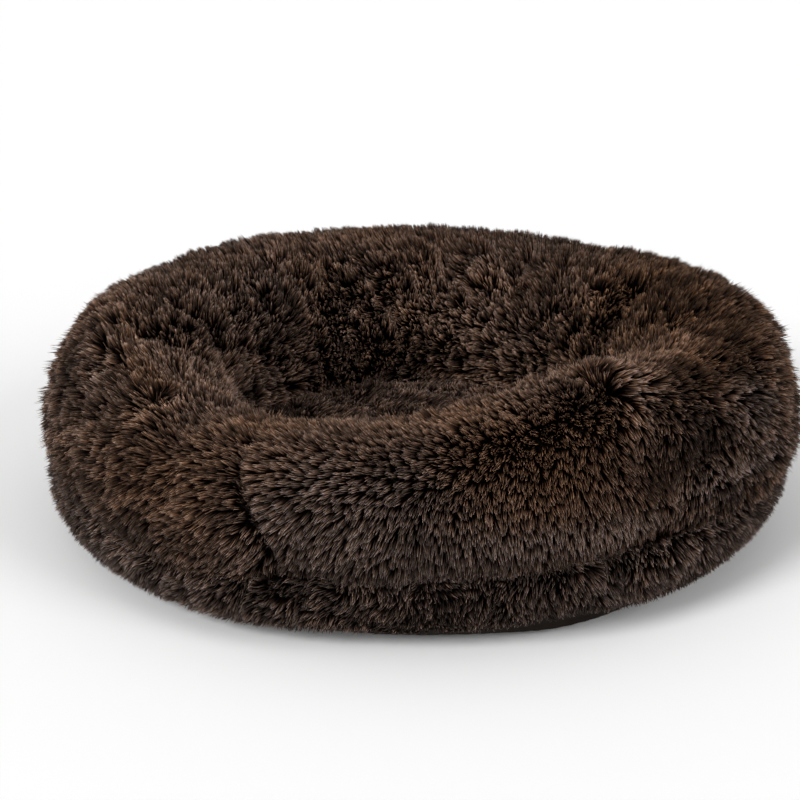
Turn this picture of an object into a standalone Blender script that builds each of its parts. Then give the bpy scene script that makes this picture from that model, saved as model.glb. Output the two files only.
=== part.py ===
"""Donut pet bed: a long-pile cover, zipped at the back, over a fibre-filled bolster and cushion.

Metres, +Z up, origin at the centre of the base on the floor. The front of the bed faces -Y.
Places round the bed are turns: 0 at the front, growing towards +X, so the back is half a turn.
"""

import math

import bpy
from mathutils import Vector

# Overall sizes of the bed, measured to the tips of the pile.
OUTER_RADIUS = 0.457
RIM_HEIGHT = 0.250
CREST_RADIUS = 0.368
WELL_RADIUS = 0.228
BASE_RADIUS = 0.378

# Heights on the rim: the seams of the cover, and the upright stretches beside them.
LOWER_SEAM_HEIGHT = 0.098
UPRIGHT_BELOW_SEAM = 0.018
UPRIGHT_ABOVE_SEAM = 0.018
INNER_SEAM_HEIGHT = 0.060
INNER_UPRIGHT = 0.050

# The fur, and how far its tips sink where panels are sewn together.
PILE_DEPTH = 0.020
CENTRE_PILE_DEPTH = 0.018
SEAM_DRAW = 0.009
PANEL_DRAW = 0.006
FUR_OFF_FLOOR = 0.003
CLEARANCE = 0.0003

# The base cloth, which turns up at its edge, and the lining of the insert.
BASE_CLOTH_THICKNESS = 0.0012
BASE_CLOTH_RISE = 0.020
LINER_THICKNESS = 0.001
SLIT_WIDTH = 0.016
STUFFING_HOLE_RADIUS = 0.020

# The centre cushion swells to its crown and draws in at its edge, under the rim's inner seam.
CUSHION_EDGE_DROP = 0.006
CUSHION_CROWN_RISE = 0.016
CUSHION_SHOULDER = 0.012

# The zip chain: two rows of coil on woven tape, in a groove between the rim and the lower band.
GROOVE_HALF_HEIGHT = 0.007
TAPE_THICKNESS = 0.0006
TAPE_REACH = 0.013
TAPE_END_MARGIN = 0.006
CHAIN_GAP = 0.0018
COIL_WIDTH = 0.0026
COIL_DEPTH = 0.0018
STOP_LENGTH = 0.0040
STOP_DEPTH = 0.0024

# The slider, its bail and its pull.
SLIDER_CLEARANCE = 0.0004
SLIDER_LENGTH = 0.0105
PLATE_THICKNESS = 0.0010
FLANGE_THICKNESS = 0.0009
NECK_WIDTH = 0.0010
NECK_LENGTH = 0.0045
BAIL_LENGTH = 0.0080
BAIL_WIDTH = 0.0018
BAIL_THICKNESS = 0.0011
PULL_LENGTH = 0.026
PULL_WIDTH = 0.0085
PULL_WAIST = 0.0060
PULL_THICKNESS = 0.0012
PULL_BAR = 0.0012
PULL_ROOM = 0.006
CUT_OVERRUN = 0.001

# Facets round the bed, and the facets at which the panels of the cover are sewn together.
SEGMENTS = 48
LEFT_FRONT_SEAM = -3
RIGHT_FRONT_SEAM = 5
ZIP_OPEN_SEAM = 19
ZIP_CLOSED_SEAM = 29
PANEL_SEAMS = (LEFT_FRONT_SEAM % SEGMENTS, RIGHT_FRONT_SEAM, ZIP_OPEN_SEAM, ZIP_CLOSED_SEAM)
ZIP_FACETS = 36
STOP_FACETS = 2

# How high the crest stands round the bed, every 30 degrees from the front. The front left lies
# low, where it is leaned on, and the front right stands high.
HEIGHT_SHARES = (0.97, 1.12, 1.06, 1.07, 1.0, 0.97, 0.98, 1.0, 0.99, 1.0, 0.88, 0.88)
# How far the crest leans from its named radius towards the outer wall, at the same places.
LEAN_SHARES = (0.0, 0.0, 0.04, 0.06, 0.03, 0.0, 0.0, 0.0, 0.0, 0.0, 0.04, 0.04)
# How high the lower seam runs, at the same places. It is level at the back, where the zip is.
SEAM_SHARES = (1.05, 1.13, 1.10, 1.0, 1.0, 1.0, 1.0, 1.0, 1.0, 1.0, 0.88, 0.82)
# How much of the pile's depth stands on the lower band, at the same places.
BAND_PILE_SHARES = (0.9, 1.25, 1.15, 1.0, 1.0, 1.0, 1.0, 1.0, 1.0, 1.0, 1.0, 1.05)

# The curves of a section through the rim, and where it is given points.
DOME_POWER = 2.1
CORNER_POWER = 2.0
COIL_POWER = 2.8
BAIL_POWER = 3.2
LINER_DOME_ANGLES = (30, 60, 90, 120, 150)
FUR_DOME_ANGLES = (18, 36, 54, 72, 90, 108, 126, 144, 162)
FUR_CORNER_ANGLES = (-78, -40, 0)
INNER_CORNER_ANGLES = (180, 225, 270)
COIL_ANGLES = (-135, -90, -45, 0, 45, 90, 135, 180)
CUSHION_RING_SHARES = (0.32, 0.60, 0.82, 1.0)
# Outlines in shares of what they follow: the slider's plan and the bail's arch.
SLIDER_PLAN_SHARES = ((-0.5, 0.90), (-0.35, 1.0), (0.32, 1.0), (0.5, 0.90))
BAIL_ARCH_ANGLES = (0, 25, 50, 75, 105, 130, 155, 180)
PULL_END_ANGLES = (90, 65, 40, 15, -15, -40, -65, -90)

FUR_BROWN = (0.046, 0.026, 0.018)
CLOTH_BROWN = (0.020, 0.014, 0.011)
LINER_GREY = (0.62, 0.61, 0.58)
FIBRE_WHITE = (0.85, 0.85, 0.83)
ZIP_BROWN = (0.030, 0.019, 0.014)
ZIP_METAL = (0.16, 0.13, 0.11)

# Sizes that follow from those above.
INNER_WALL_HIGH = INNER_SEAM_HEIGHT + INNER_UPRIGHT
BACKING_RADIUS = OUTER_RADIUS - PILE_DEPTH
TURN_IN_RADIUS = BASE_RADIUS - PILE_DEPTH
CUSHION_RADIUS = WELL_RADIUS + PILE_DEPTH
CUSHION_EDGE = INNER_SEAM_HEIGHT - CUSHION_EDGE_DROP
CLOTH_RADIUS = BACKING_RADIUS + BASE_CLOTH_THICKNESS
COVER_FLOOR = BASE_CLOTH_THICKNESS + CLEARANCE
LINER_OUTSIDE = PILE_DEPTH + CLEARANCE
LINER_INSIDE = LINER_OUTSIDE + LINER_THICKNESS
FILL_OUTSIDE = LINER_INSIDE + CLEARANCE
INNER_CORNER = (INNER_SEAM_HEIGHT - COVER_FLOOR) / 2

# Radii of the zip's layers, from the tape outwards, and of the slider's inner plate.
TAPE_OUTER = BACKING_RADIUS * math.cos(math.pi / SEGMENTS) - CLEARANCE
TAPE_INNER = TAPE_OUTER - TAPE_THICKNESS
COIL_INNER = TAPE_OUTER + CLEARANCE
COIL_OUTER = COIL_INNER + COIL_DEPTH
INNER_PLATE_TOP = TAPE_INNER - SLIDER_CLEARANCE
INNER_PLATE = INNER_PLATE_TOP - PLATE_THICKNESS
OUTER_PLATE = COIL_OUTER + SLIDER_CLEARANCE
OUTER_PLATE_TOP = OUTER_PLATE + PLATE_THICKNESS
BAR_SWING = math.hypot(PULL_BAR / 2, PULL_THICKNESS / 2)
PULL_AXIS_RADIUS = OUTER_PLATE_TOP + SLIDER_CLEARANCE + BAR_SWING
BAIL_OPENING = 2 * (SLIDER_CLEARANCE + BAR_SWING)
# The insert makes room behind the tape for the slider's inner plate.
ZIP_DENT = OUTER_RADIUS - LINER_OUTSIDE - (INNER_PLATE - SLIDER_CLEARANCE)

# Turns of the groove's ends, of the slider at either end of its travel, and of the chain.
GROOVE_START = 2 * math.pi * ZIP_OPEN_SEAM / SEGMENTS
GROOVE_END = 2 * math.pi * ZIP_CLOSED_SEAM / SEGMENTS
SLIDER_TO_SEAM = (PULL_LENGTH + PULL_ROOM) / BACKING_RADIUS
SLIDER_OPEN = GROOVE_START + SLIDER_TO_SEAM
SLIDER_CLOSED = GROOVE_END - SLIDER_TO_SEAM
CHAIN_PAST_SLIDER = (SLIDER_LENGTH / 2 + SLIDER_CLEARANCE) / BACKING_RADIUS
CHAIN_START = SLIDER_OPEN - CHAIN_PAST_SLIDER
CHAIN_END = SLIDER_CLOSED + CHAIN_PAST_SLIDER


def turn_of(facet):
    return 2 * math.pi * facet / SEGMENTS


def place(radius, height, turn):
    return Vector((radius * math.sin(turn), -radius * math.cos(turn), height))


def round_the_bed(shares, turn):
    """A smooth closed curve through evenly spaced shares, read at one turn."""
    count = len(shares)
    position = turn / (2 * math.pi) * count
    index = math.floor(position)
    along = position - index
    before, start, end, after = (shares[(index + step) % count] for step in (-1, 0, 1, 2))
    slope = end - before
    bend = 2 * before - 5 * start + 4 * end - after
    twist = 3 * (start - end) + after - before
    return start + along * (slope + along * (bend + along * twist)) / 2


def superellipse(centre, half_width, half_height, degrees, power):
    """One point of a superellipse, as (radius, height)."""
    turn = math.radians(degrees)
    across = math.copysign(abs(math.cos(turn)) ** (2 / power), math.cos(turn))
    up = math.copysign(abs(math.sin(turn)) ** (2 / power), math.sin(turn))
    return centre[0] + half_width * across, centre[1] + half_height * up


def seam_height(turn):
    return LOWER_SEAM_HEIGHT * round_the_bed(SEAM_SHARES, turn)


def wall_low(turn):
    return seam_height(turn) - UPRIGHT_BELOW_SEAM


def wall_high(turn):
    return seam_height(turn) + UPRIGHT_ABOVE_SEAM


def dome(turn, inset, angles):
    """The rounded top of the rim in section, from the outer wall over the crest to the inner one."""
    lean = round_the_bed(LEAN_SHARES, turn)
    crest = CREST_RADIUS + lean * (OUTER_RADIUS - CREST_RADIUS)
    height = RIM_HEIGHT * round_the_bed(HEIGHT_SHARES, turn)
    points = []
    for degrees in angles:
        outside = degrees <= 90
        foot = wall_high(turn) if outside else INNER_WALL_HIGH
        reach = OUTER_RADIUS - crest if outside else crest - WELL_RADIUS
        half = (reach - inset, height - foot - inset)
        points.append(superellipse((crest, foot), *half, degrees, DOME_POWER))
    return points


def lower_corner(turn, turn_in, wall, bottom, angles):
    """The rounded lower edge of the rim in section, from its base out to the upright wall."""
    top = wall_low(turn)
    half = (wall - turn_in, top - bottom)
    return [superellipse((turn_in, top), *half, degrees, CORNER_POWER) for degrees in angles]


def corner_angle(turn, height, bottom):
    """The angle at which the rounded lower edge reaches a height."""
    share = (wall_low(turn) - height) / (wall_low(turn) - bottom)
    return -math.degrees(math.asin(share ** (CORNER_POWER / 2)))


def material(name, colour, roughness, metallic=0.0):
    made = bpy.data.materials.new(name)
    made.use_nodes = True
    shader = made.node_tree.nodes["Principled BSDF"]
    shader.inputs["Base Color"].default_value = (*colour, 1)
    shader.inputs["Roughness"].default_value = roughness
    shader.inputs["Metallic"].default_value = metallic
    made.diffuse_color = (*colour, 1)
    return made


def add_object(name, points, faces, look, smooth=True):
    mesh = bpy.data.meshes.new(name)
    mesh.from_pydata(points, [], faces)
    if smooth:
        mesh.shade_smooth()
        mesh.set_sharp_from_angle(angle=math.radians(50))
    if look:
        mesh.materials.append(look)
    made = bpy.data.objects.new(name, mesh)
    bpy.context.scene.collection.objects.link(made)
    return made


def runs_counterclockwise(start, end):
    """Whether a step along an outline goes counterclockwise about the middle of the rim."""
    middle = (CREST_RADIUS, RIM_HEIGHT / 2)
    (across, up), (to_across, to_up) = (
        (radius - middle[0], height - middle[1]) for radius, height in (start, end)
    )
    return across * to_up > up * to_across


def swept(name, sections, look, whole_turn=False):
    """A closed body through sections, each a turn and a closed outline of (radius, height).

    A point on the axis is one vertex for all sections. The ends are capped unless they meet.
    A twisted face splits along its first two corners' diagonal, which is chosen so that layers
    that lie on each other split alike.
    """
    points, rows, on_axis = [], [], {}
    for turn, outline in sections:
        row = []
        for slot, (radius, height) in enumerate(outline):
            if radius == 0 and slot in on_axis:
                row.append(on_axis[slot])
                continue
            if radius == 0:
                on_axis[slot] = len(points)
            row.append(len(points))
            points.append(place(radius, height, turn))
        rows.append(row)
    faces = []
    pairs = list(zip(rows, rows[1:]))
    if whole_turn:
        pairs.append((rows[-1], rows[0]))
    for first, second in pairs:
        for slot, (a, d) in enumerate(zip(first, second)):
            b, c = first[slot - 1], second[slot - 1]
            rising = runs_counterclockwise(outline[slot - 1], outline[slot])
            corners = list(dict.fromkeys((b, c, d, a) if rising else (a, b, c, d)))
            if len(corners) > 2:
                faces.append(corners)
    if not whole_turn:
        faces += [rows[0], rows[-1][::-1]]
    return add_object(name, points, faces, look)


def ring(name, outline_at, look):
    """A body that goes the whole way round the bed."""
    sections = [(turn_of(facet), outline_at(facet)) for facet in range(SEGMENTS)]
    return swept(name, sections, look, whole_turn=True)


def panel(name, outlines, look):
    """A body between two panel seams, short of each by half the clearance."""
    turns = [turn_of(facet) for facet, outline in outlines]
    turns[0] += CLEARANCE / 2 / WELL_RADIUS
    turns[-1] -= CLEARANCE / 2 / WELL_RADIUS
    return swept(name, [(turn, outline) for turn, (facet, outline) in zip(turns, outlines)], look)


def zip_strip(name, outline, start, end, facets, look):
    """A body of one section that follows the zip's arc."""
    turns = [start + (end - start) * step / facets for step in range(facets + 1)]
    return swept(name, [(turn, outline) for turn in turns], look)


def loft(name, rings, look=None):
    """A closed body through rings of points, capped at both ends."""
    count = len(rings[0])
    points = [point for each in rings for point in each]
    faces = [list(range(count))[::-1], [len(points) - count + slot for slot in range(count)]]
    for start in range(0, len(points) - count, count):
        for slot in range(count):
            after = (slot + 1) % count
            faces.append([start + slot, start + after, start + count + after, start + count + slot])
    return add_object(name, points, faces, look, smooth=False)


def boolean(target, helper, operation):
    """Joins a helper to an object, or cuts it out. The helper stays hidden."""
    modifier = target.modifiers.new(helper.name, "BOOLEAN")
    modifier.operation = operation
    modifier.solver = "EXACT"
    modifier.object = helper
    helper.parent = target
    helper.hide_render = True
    helper.display_type = "WIRE"


# The cover: fur panels in section, with the tips of the pile outside and the backing inside.


def drawn(tip, root, share):
    """A tip of the pile, pulled to its root so that this share of its depth is left."""
    return tuple(low + (high - low) * share for high, low in zip(tip, root))


def panel_share(facet):
    """The pile's share of its depth: it sinks where two panels are sewn together."""
    return 1 - PANEL_DRAW / PILE_DEPTH if facet % SEGMENTS in PANEL_SEAMS else 1


def rim_panel_outline(facet, gap):
    """One section of the rim's cover, from a gap above the lower seam round to the inner seam."""
    turn = turn_of(facet)
    low = seam_height(turn) + gap
    share = panel_share(facet)
    seam_share = share * (1 - SEAM_DRAW / PILE_DEPTH)
    high = wall_high(turn)
    swell = (2 * low + high) / 3
    outer = [
        drawn((OUTER_RADIUS, height), (BACKING_RADIUS, height), left)
        for height, left in ((low, seam_share), (swell, share), (high, share))
    ]
    roots = dome(turn, PILE_DEPTH, FUR_DOME_ANGLES)
    top = [drawn(tip, root, share) for tip, root in zip(dome(turn, 0, FUR_DOME_ANGLES), roots)]
    inner = [
        drawn((WELL_RADIUS, height), (CUSHION_RADIUS, height), left)
        for height, left in ((INNER_WALL_HIGH, share), (INNER_SEAM_HEIGHT, seam_share))
    ]
    backing = [(BACKING_RADIUS, low), (BACKING_RADIUS, high)]
    backing += dome(turn, PILE_DEPTH, LINER_DOME_ANGLES)
    backing += [(CUSHION_RADIUS, INNER_WALL_HIGH), (CUSHION_RADIUS, INNER_SEAM_HEIGHT)]
    return outer + top + inner + backing[::-1]


def base_cloth_side(turn, outer):
    """One face of the base cloth in section, from the flat bottom up to its turned edge."""
    rise = corner_angle(turn, BASE_CLOTH_RISE, 0)
    angles = (-90, (rise - 90) / 2, rise)
    wall, bottom = (CLOTH_RADIUS, 0) if outer else (BACKING_RADIUS, BASE_CLOTH_THICKNESS)
    return lower_corner(turn, TURN_IN_RADIUS, wall, bottom, angles)


def band_outline(facet, gap):
    """One section of the lower band, from the base cloth's edge up to a gap below the seam."""
    turn = turn_of(facet)
    top = seam_height(turn) - gap
    share = panel_share(facet) * round_the_bed(BAND_PILE_SHARES, turn)
    seam_share = min(share, 1) * (1 - SEAM_DRAW / PILE_DEPTH)
    cloth_edge = [base_cloth_side(turn, outer)[-1] for outer in (True, False)]
    start = corner_angle(turn, cloth_edge[1][1] + CLEARANCE, COVER_FLOOR)
    angles = (start, start / 2, 0)
    roots = lower_corner(turn, TURN_IN_RADIUS, BACKING_RADIUS, COVER_FLOOR, angles)
    tips = lower_corner(turn, BASE_RADIUS, OUTER_RADIUS, FUR_OFF_FLOOR, FUR_CORNER_ANGLES)
    beside_cloth = cloth_edge[0][0] + CLEARANCE
    lip = [(beside_cloth, roots[0][1]), (beside_cloth, cloth_edge[0][1] - BASE_CLOTH_THICKNESS)]
    outer = [tips[0]] + [drawn(tip, root, share) for tip, root in zip(tips[1:], roots[1:])]
    outer.append(drawn((OUTER_RADIUS, top), (BACKING_RADIUS, top), seam_share))
    return [*lip, *outer, (BACKING_RADIUS, top), *roots[::-1]]


def build_fur_panels():
    closed = CLEARANCE / 2
    panels = (
        ("front", LEFT_FRONT_SEAM, RIGHT_FRONT_SEAM, closed),
        ("right", RIGHT_FRONT_SEAM, ZIP_OPEN_SEAM, closed),
        ("back", ZIP_OPEN_SEAM, ZIP_CLOSED_SEAM, GROOVE_HALF_HEIGHT),
        ("left", ZIP_CLOSED_SEAM, LEFT_FRONT_SEAM + SEGMENTS, closed),
    )
    for side, first, last, gap in panels:
        for part, outline_at in (("rim_cover", rim_panel_outline), ("lower_band", band_outline)):
            name = f"{part}_{side}"
            fur = material(name, FUR_BROWN, 0.85)
            facets = range(first, last + 1)
            panel(name, [(facet, outline_at(facet, gap)) for facet in facets], fur)


def cushion_top(radius):
    """The height of the cushion's crowned top under the centre panel."""
    return CUSHION_EDGE + CUSHION_CROWN_RISE * (1 - (radius / CUSHION_RADIUS) ** 2)


def build_centre_panel():
    edge = WELL_RADIUS - CLEARANCE
    radii = [share * edge for share in CUSHION_RING_SHARES]
    under = [(radius, cushion_top(radius) + CLEARANCE) for radius in (0, *radii)]
    over = [(radius, height + CENTRE_PILE_DEPTH) for radius, height in under]
    rounded = (edge, over[-1][1] - CENTRE_PILE_DEPTH / 2)
    over[-1] = ((radii[-1] + radii[-2]) / 2, over[-1][1])
    outline = under + [rounded] + over[::-1]
    fur = material("centre_panel", FUR_BROWN, 0.85)
    ring("centre_panel", lambda facet: outline, fur)


def base_cloth_outline(facet):
    under, over = (base_cloth_side(turn_of(facet), outer) for outer in (True, False))
    return [(0, 0), *under, *over[::-1], (0, BASE_CLOTH_THICKNESS)]


def build_base_cloth():
    ring("base_cloth", base_cloth_outline, material("base_cloth", CLOTH_BROWN, 0.6))


# The insert: a stuffed bolster and a stuffed cushion, each in a lining.


def bolster_outline(facet, inset):
    """One section of the bolster at a depth under the tips, open at the bottom."""
    turn = turn_of(facet)
    bottom = COVER_FLOOR + inset - LINER_OUTSIDE
    wall = OUTER_RADIUS - inset
    inner = WELL_RADIUS + inset
    dent = ZIP_DENT if ZIP_OPEN_SEAM <= facet <= ZIP_CLOSED_SEAM else 0
    rise = corner_angle(turn, BASE_CLOTH_RISE, 0)
    points = lower_corner(turn, TURN_IN_RADIUS, wall, bottom, (-90, rise, rise / 2, 0))
    for height in (-TAPE_REACH, TAPE_REACH):
        points.append((wall - dent, seam_height(turn) + height))
    points.append((wall, wall_high(turn)))
    points += dome(turn, inset, LINER_DOME_ANGLES)
    points += [(inner, INNER_WALL_HIGH), (inner, INNER_SEAM_HEIGHT)]
    corner = (CUSHION_RADIUS + INNER_CORNER, COVER_FLOOR + INNER_CORNER)
    half = (corner[0] - inner, corner[1] - bottom)
    points += [superellipse(corner, *half, degrees, CORNER_POWER) for degrees in INNER_CORNER_ANGLES]
    return points


def bolster_liner_outline(facet):
    """The lining in section, open along the slit through which the bolster is stuffed."""
    middle = (TURN_IN_RADIUS + CUSHION_RADIUS + INNER_CORNER) / 2
    outline = []
    for inset, way in ((LINER_OUTSIDE, 1), (LINER_INSIDE, -1)):
        points = bolster_outline(facet, inset)
        bottom = points[0][1]
        points = [(middle + SLIT_WIDTH / 2, bottom), *points, (middle - SLIT_WIDTH / 2, bottom)]
        outline += points[::way]
    return outline


def build_bolster():
    lining = material("bolster_liner", LINER_GREY, 0.7)
    ring("bolster_liner", bolster_liner_outline, lining)
    fibre = material("bolster_fill", FIBRE_WHITE, 0.9)
    ring("bolster_fill", lambda facet: bolster_outline(facet, FILL_OUTSIDE), fibre)


def cushion_outline(inset):
    """The cushion in section at a depth under its lining, from its base up to the axis."""
    bottom = COVER_FLOOR + inset
    edge = CUSHION_RADIUS - inset
    points = [(CUSHION_RADIUS - CUSHION_SHOULDER, bottom), (edge, COVER_FLOOR + CUSHION_SHOULDER)]
    points.append((edge, CUSHION_EDGE - CUSHION_SHOULDER))
    points.append((CUSHION_RADIUS - CUSHION_SHOULDER / 2, CUSHION_EDGE - inset))
    for share in (*CUSHION_RING_SHARES[::-1], 0):
        radius = share * (WELL_RADIUS - CLEARANCE)
        points.append((radius, cushion_top(radius) - inset))
    return points


def build_cushion():
    outside = [(STUFFING_HOLE_RADIUS, COVER_FLOOR), *cushion_outline(0)]
    inside = [(STUFFING_HOLE_RADIUS, COVER_FLOOR + LINER_THICKNESS)]
    inside += cushion_outline(LINER_THICKNESS)
    lining = material("cushion_liner", LINER_GREY, 0.7)
    ring("cushion_liner", lambda facet: outside + inside[::-1], lining)
    depth = LINER_THICKNESS + CLEARANCE
    filling = [(0, COVER_FLOOR + depth), *cushion_outline(depth)]
    ring("cushion_fill", lambda facet: filling, material("cushion_fill", FIBRE_WHITE, 0.9))


# The zip.


def box_outline(low_radius, high_radius, low_height, high_height):
    return [
        (low_radius, low_height),
        (high_radius, low_height),
        (high_radius, high_height),
        (low_radius, high_height),
    ]


def coil_outline(side):
    """A coil row in section: a flattened round bar beside the middle of the chain."""
    middle = LOWER_SEAM_HEIGHT + side * (CHAIN_GAP + COIL_WIDTH) / 2
    centre = ((COIL_INNER + COIL_OUTER) / 2, middle)
    half = (COIL_DEPTH / 2, COIL_WIDTH / 2)
    return [superellipse(centre, *half, degrees, COIL_POWER) for degrees in COIL_ANGLES]


def build_chain():
    margin = TAPE_END_MARGIN / BACKING_RADIUS
    block = (STOP_LENGTH + CLEARANCE) / BACKING_RADIUS
    gap = CLEARANCE / BACKING_RADIUS
    stop_top = COIL_INNER + STOP_DEPTH
    for name, side in (("upper", 1), ("lower", -1)):
        near, far = (LOWER_SEAM_HEIGHT + side * away for away in (CHAIN_GAP / 2, TAPE_REACH))
        tape = box_outline(TAPE_INNER, TAPE_OUTER, min(near, far), max(near, far))
        woven = material(f"zip_tape_{name}", ZIP_BROWN, 0.8)
        ends = (GROOVE_START + margin, GROOVE_END - margin)
        zip_strip(f"zip_tape_{name}", tape, *ends, ZIP_FACETS, woven)
        nylon = material(f"zip_coil_{name}", ZIP_BROWN, 0.4)
        zip_strip(f"zip_coil_{name}", coil_outline(side), CHAIN_START, CHAIN_END, ZIP_FACETS, nylon)
        far = near + side * COIL_WIDTH
        stop = box_outline(COIL_INNER, stop_top, min(near, far), max(near, far))
        metal = material(f"zip_top_stop_{name}", ZIP_METAL, 0.35, 1.0)
        ends = (CHAIN_START - block, CHAIN_START - gap)
        zip_strip(f"zip_top_stop_{name}", stop, *ends, STOP_FACETS, metal)
    reach = CHAIN_GAP / 2 + COIL_WIDTH
    stop = box_outline(COIL_INNER, stop_top, LOWER_SEAM_HEIGHT - reach, LOWER_SEAM_HEIGHT + reach)
    metal = material("zip_bottom_stop", ZIP_METAL, 0.35, 1.0)
    zip_strip("zip_bottom_stop", stop, CHAIN_END + gap, CHAIN_END + block, STOP_FACETS, metal)


def slider_section(along, wide):
    """One section of the slider's outer plate, with the flanges that grip the coils."""
    inside = CHAIN_GAP / 2 + COIL_WIDTH + SLIDER_CLEARANCE
    outside = inside + FLANGE_THICKNESS * wide
    grip = TAPE_OUTER + SLIDER_CLEARANCE
    corners = (
        (grip, -outside),
        (OUTER_PLATE_TOP, -outside),
        (OUTER_PLATE_TOP, outside),
        (grip, outside),
        (grip, inside),
        (OUTER_PLATE, inside),
        (OUTER_PLATE, -inside),
        (grip, -inside),
    )
    return [Vector((along * SLIDER_LENGTH, -radius, height)) for radius, height in corners]


def prism(name, plan, low_radius, high_radius):
    """A body with a plan of (along, height) points, between two radii of the slider's frame."""
    rings = []
    for radius in (low_radius, high_radius):
        rings.append([Vector((along, -radius, height)) for along, height in plan])
    return loft(name, rings)


def build_slider():
    metal = material("zip_slider", ZIP_METAL, 0.35, 1.0)
    slider = loft("zip_slider", [slider_section(*plan) for plan in SLIDER_PLAN_SHARES], metal)
    half_width = CHAIN_GAP / 2 + COIL_WIDTH + SLIDER_CLEARANCE + FLANGE_THICKNESS
    plan = [(along * SLIDER_LENGTH, wide * half_width) for along, wide in SLIDER_PLAN_SHARES]
    plan += [(along, -wide) for along, wide in plan[::-1]]
    inner_plate = prism("slider_inner_plate", plan, INNER_PLATE, INNER_PLATE_TOP)
    front = SLIDER_LENGTH / 2
    neck_plan = [
        (front, 0),
        (front - NECK_LENGTH / 3, NECK_WIDTH / 2),
        (front - NECK_LENGTH, 0),
        (front - NECK_LENGTH / 3, -NECK_WIDTH / 2),
    ]
    plate_middles = (INNER_PLATE + PLATE_THICKNESS / 2, OUTER_PLATE + PLATE_THICKNESS / 2)
    neck = prism("slider_neck", neck_plan, *plate_middles)
    for helper in (inner_plate, neck, bail()):
        boolean(slider, helper, "UNION")
    slider.location = (0, 0, LOWER_SEAM_HEIGHT)
    slider.rotation_euler = (0, 0, SLIDER_CLOSED)
    return slider


def bail():
    """The bail arches over the pull's bar, with its feet sunk in the outer plate."""
    foot = OUTER_PLATE_TOP - PLATE_THICKNESS / 2
    arch = []
    outer = (BAIL_LENGTH / 2, BAIL_OPENING + BAIL_THICKNESS)
    inner = (BAIL_LENGTH / 2 - BAIL_THICKNESS, BAIL_OPENING)
    for half, angles in ((outer, BAIL_ARCH_ANGLES), (inner, BAIL_ARCH_ANGLES[::-1])):
        sides = [superellipse((0, OUTER_PLATE_TOP), *half, angle, BAIL_POWER) for angle in angles]
        arch += [(sides[0][0], foot), *sides, (sides[-1][0], foot)]
    rings = []
    for height in (-BAIL_WIDTH / 2, BAIL_WIDTH / 2):
        rings.append([Vector((along, -radius, height)) for along, radius in arch])
    return loft("slider_bail", rings)


def build_pull(slider):
    """The pull hangs by its bar under the bail, and lies back along the chain at rest."""
    window = BAIL_LENGTH / 2 + SLIDER_CLEARANCE + PULL_BAR / 2
    arm = (PULL_WIDTH - BAIL_WIDTH) / 2 - SLIDER_CLEARANCE
    round_end = PULL_WIDTH / 2
    outline = [(PULL_BAR / 2, -PULL_WIDTH / 2), (PULL_BAR / 2, PULL_WIDTH / 2)]
    outline.append((-window - PULL_BAR, PULL_WIDTH / 2))
    outline.append((-window - 2 * arm, PULL_WAIST / 2))
    middle = (PULL_LENGTH - round_end, 0)
    for degrees in PULL_END_ANGLES:
        along, height = superellipse(middle, round_end, round_end, degrees, 2)
        outline.append((-along, height))
    outline.append((-window - 2 * arm, -PULL_WAIST / 2))
    outline.append((-window - PULL_BAR, -PULL_WIDTH / 2))
    faces = (-PULL_THICKNESS / 2, PULL_THICKNESS / 2)
    metal = material("zip_pull", ZIP_METAL, 0.35, 1.0)
    rings = [[Vector((along, -out, height)) for along, height in outline] for out in faces]
    pull = loft("zip_pull", rings, metal)
    half = BAIL_WIDTH / 2 + SLIDER_CLEARANCE
    hole = [(-PULL_BAR / 2, half), (-window, half), (-window, -half), (-PULL_BAR / 2, -half)]
    through = [face + math.copysign(CUT_OVERRUN, face) for face in faces]
    rings = [[Vector((along, -out, height)) for along, height in hole] for out in through]
    boolean(pull, loft("pull_window", rings), "DIFFERENCE")
    pull.parent = slider
    pull.location = (0, -PULL_AXIS_RADIUS, 0)


def main():
    for old in list(bpy.data.objects):
        bpy.data.objects.remove(old)
    build_fur_panels()
    build_centre_panel()
    build_base_cloth()
    build_bolster()
    build_cushion()
    build_chain()
    build_pull(build_slider())


main()
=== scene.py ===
"""Donut pet bed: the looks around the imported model.

Places round the bed are turns, as in the part: 0 at the front (-Y), growing towards +X.
The fur is real geometry: tapered locks, each rooted on a backing that follows the cover.
"""

import itertools
import math

import bpy
import numpy as np
from mathutils import Matrix, Vector


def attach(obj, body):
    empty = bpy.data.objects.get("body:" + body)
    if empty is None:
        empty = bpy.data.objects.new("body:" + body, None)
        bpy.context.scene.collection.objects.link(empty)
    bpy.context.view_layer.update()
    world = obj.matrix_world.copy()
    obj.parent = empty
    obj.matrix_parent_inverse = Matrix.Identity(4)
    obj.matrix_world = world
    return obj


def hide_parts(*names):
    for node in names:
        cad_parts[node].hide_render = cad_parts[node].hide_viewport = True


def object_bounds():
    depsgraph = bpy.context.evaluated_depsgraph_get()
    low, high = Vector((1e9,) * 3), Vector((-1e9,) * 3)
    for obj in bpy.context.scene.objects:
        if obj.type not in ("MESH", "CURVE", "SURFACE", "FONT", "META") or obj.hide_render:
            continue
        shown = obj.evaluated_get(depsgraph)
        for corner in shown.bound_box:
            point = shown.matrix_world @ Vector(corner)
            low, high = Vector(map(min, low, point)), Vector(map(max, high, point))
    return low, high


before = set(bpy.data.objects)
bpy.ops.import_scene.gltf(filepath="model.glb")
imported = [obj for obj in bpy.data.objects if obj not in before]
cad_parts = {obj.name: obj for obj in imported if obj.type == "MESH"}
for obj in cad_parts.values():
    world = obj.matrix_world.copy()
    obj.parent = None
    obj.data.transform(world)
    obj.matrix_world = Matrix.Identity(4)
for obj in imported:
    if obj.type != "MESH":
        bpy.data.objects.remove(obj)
cad_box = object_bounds()

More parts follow.
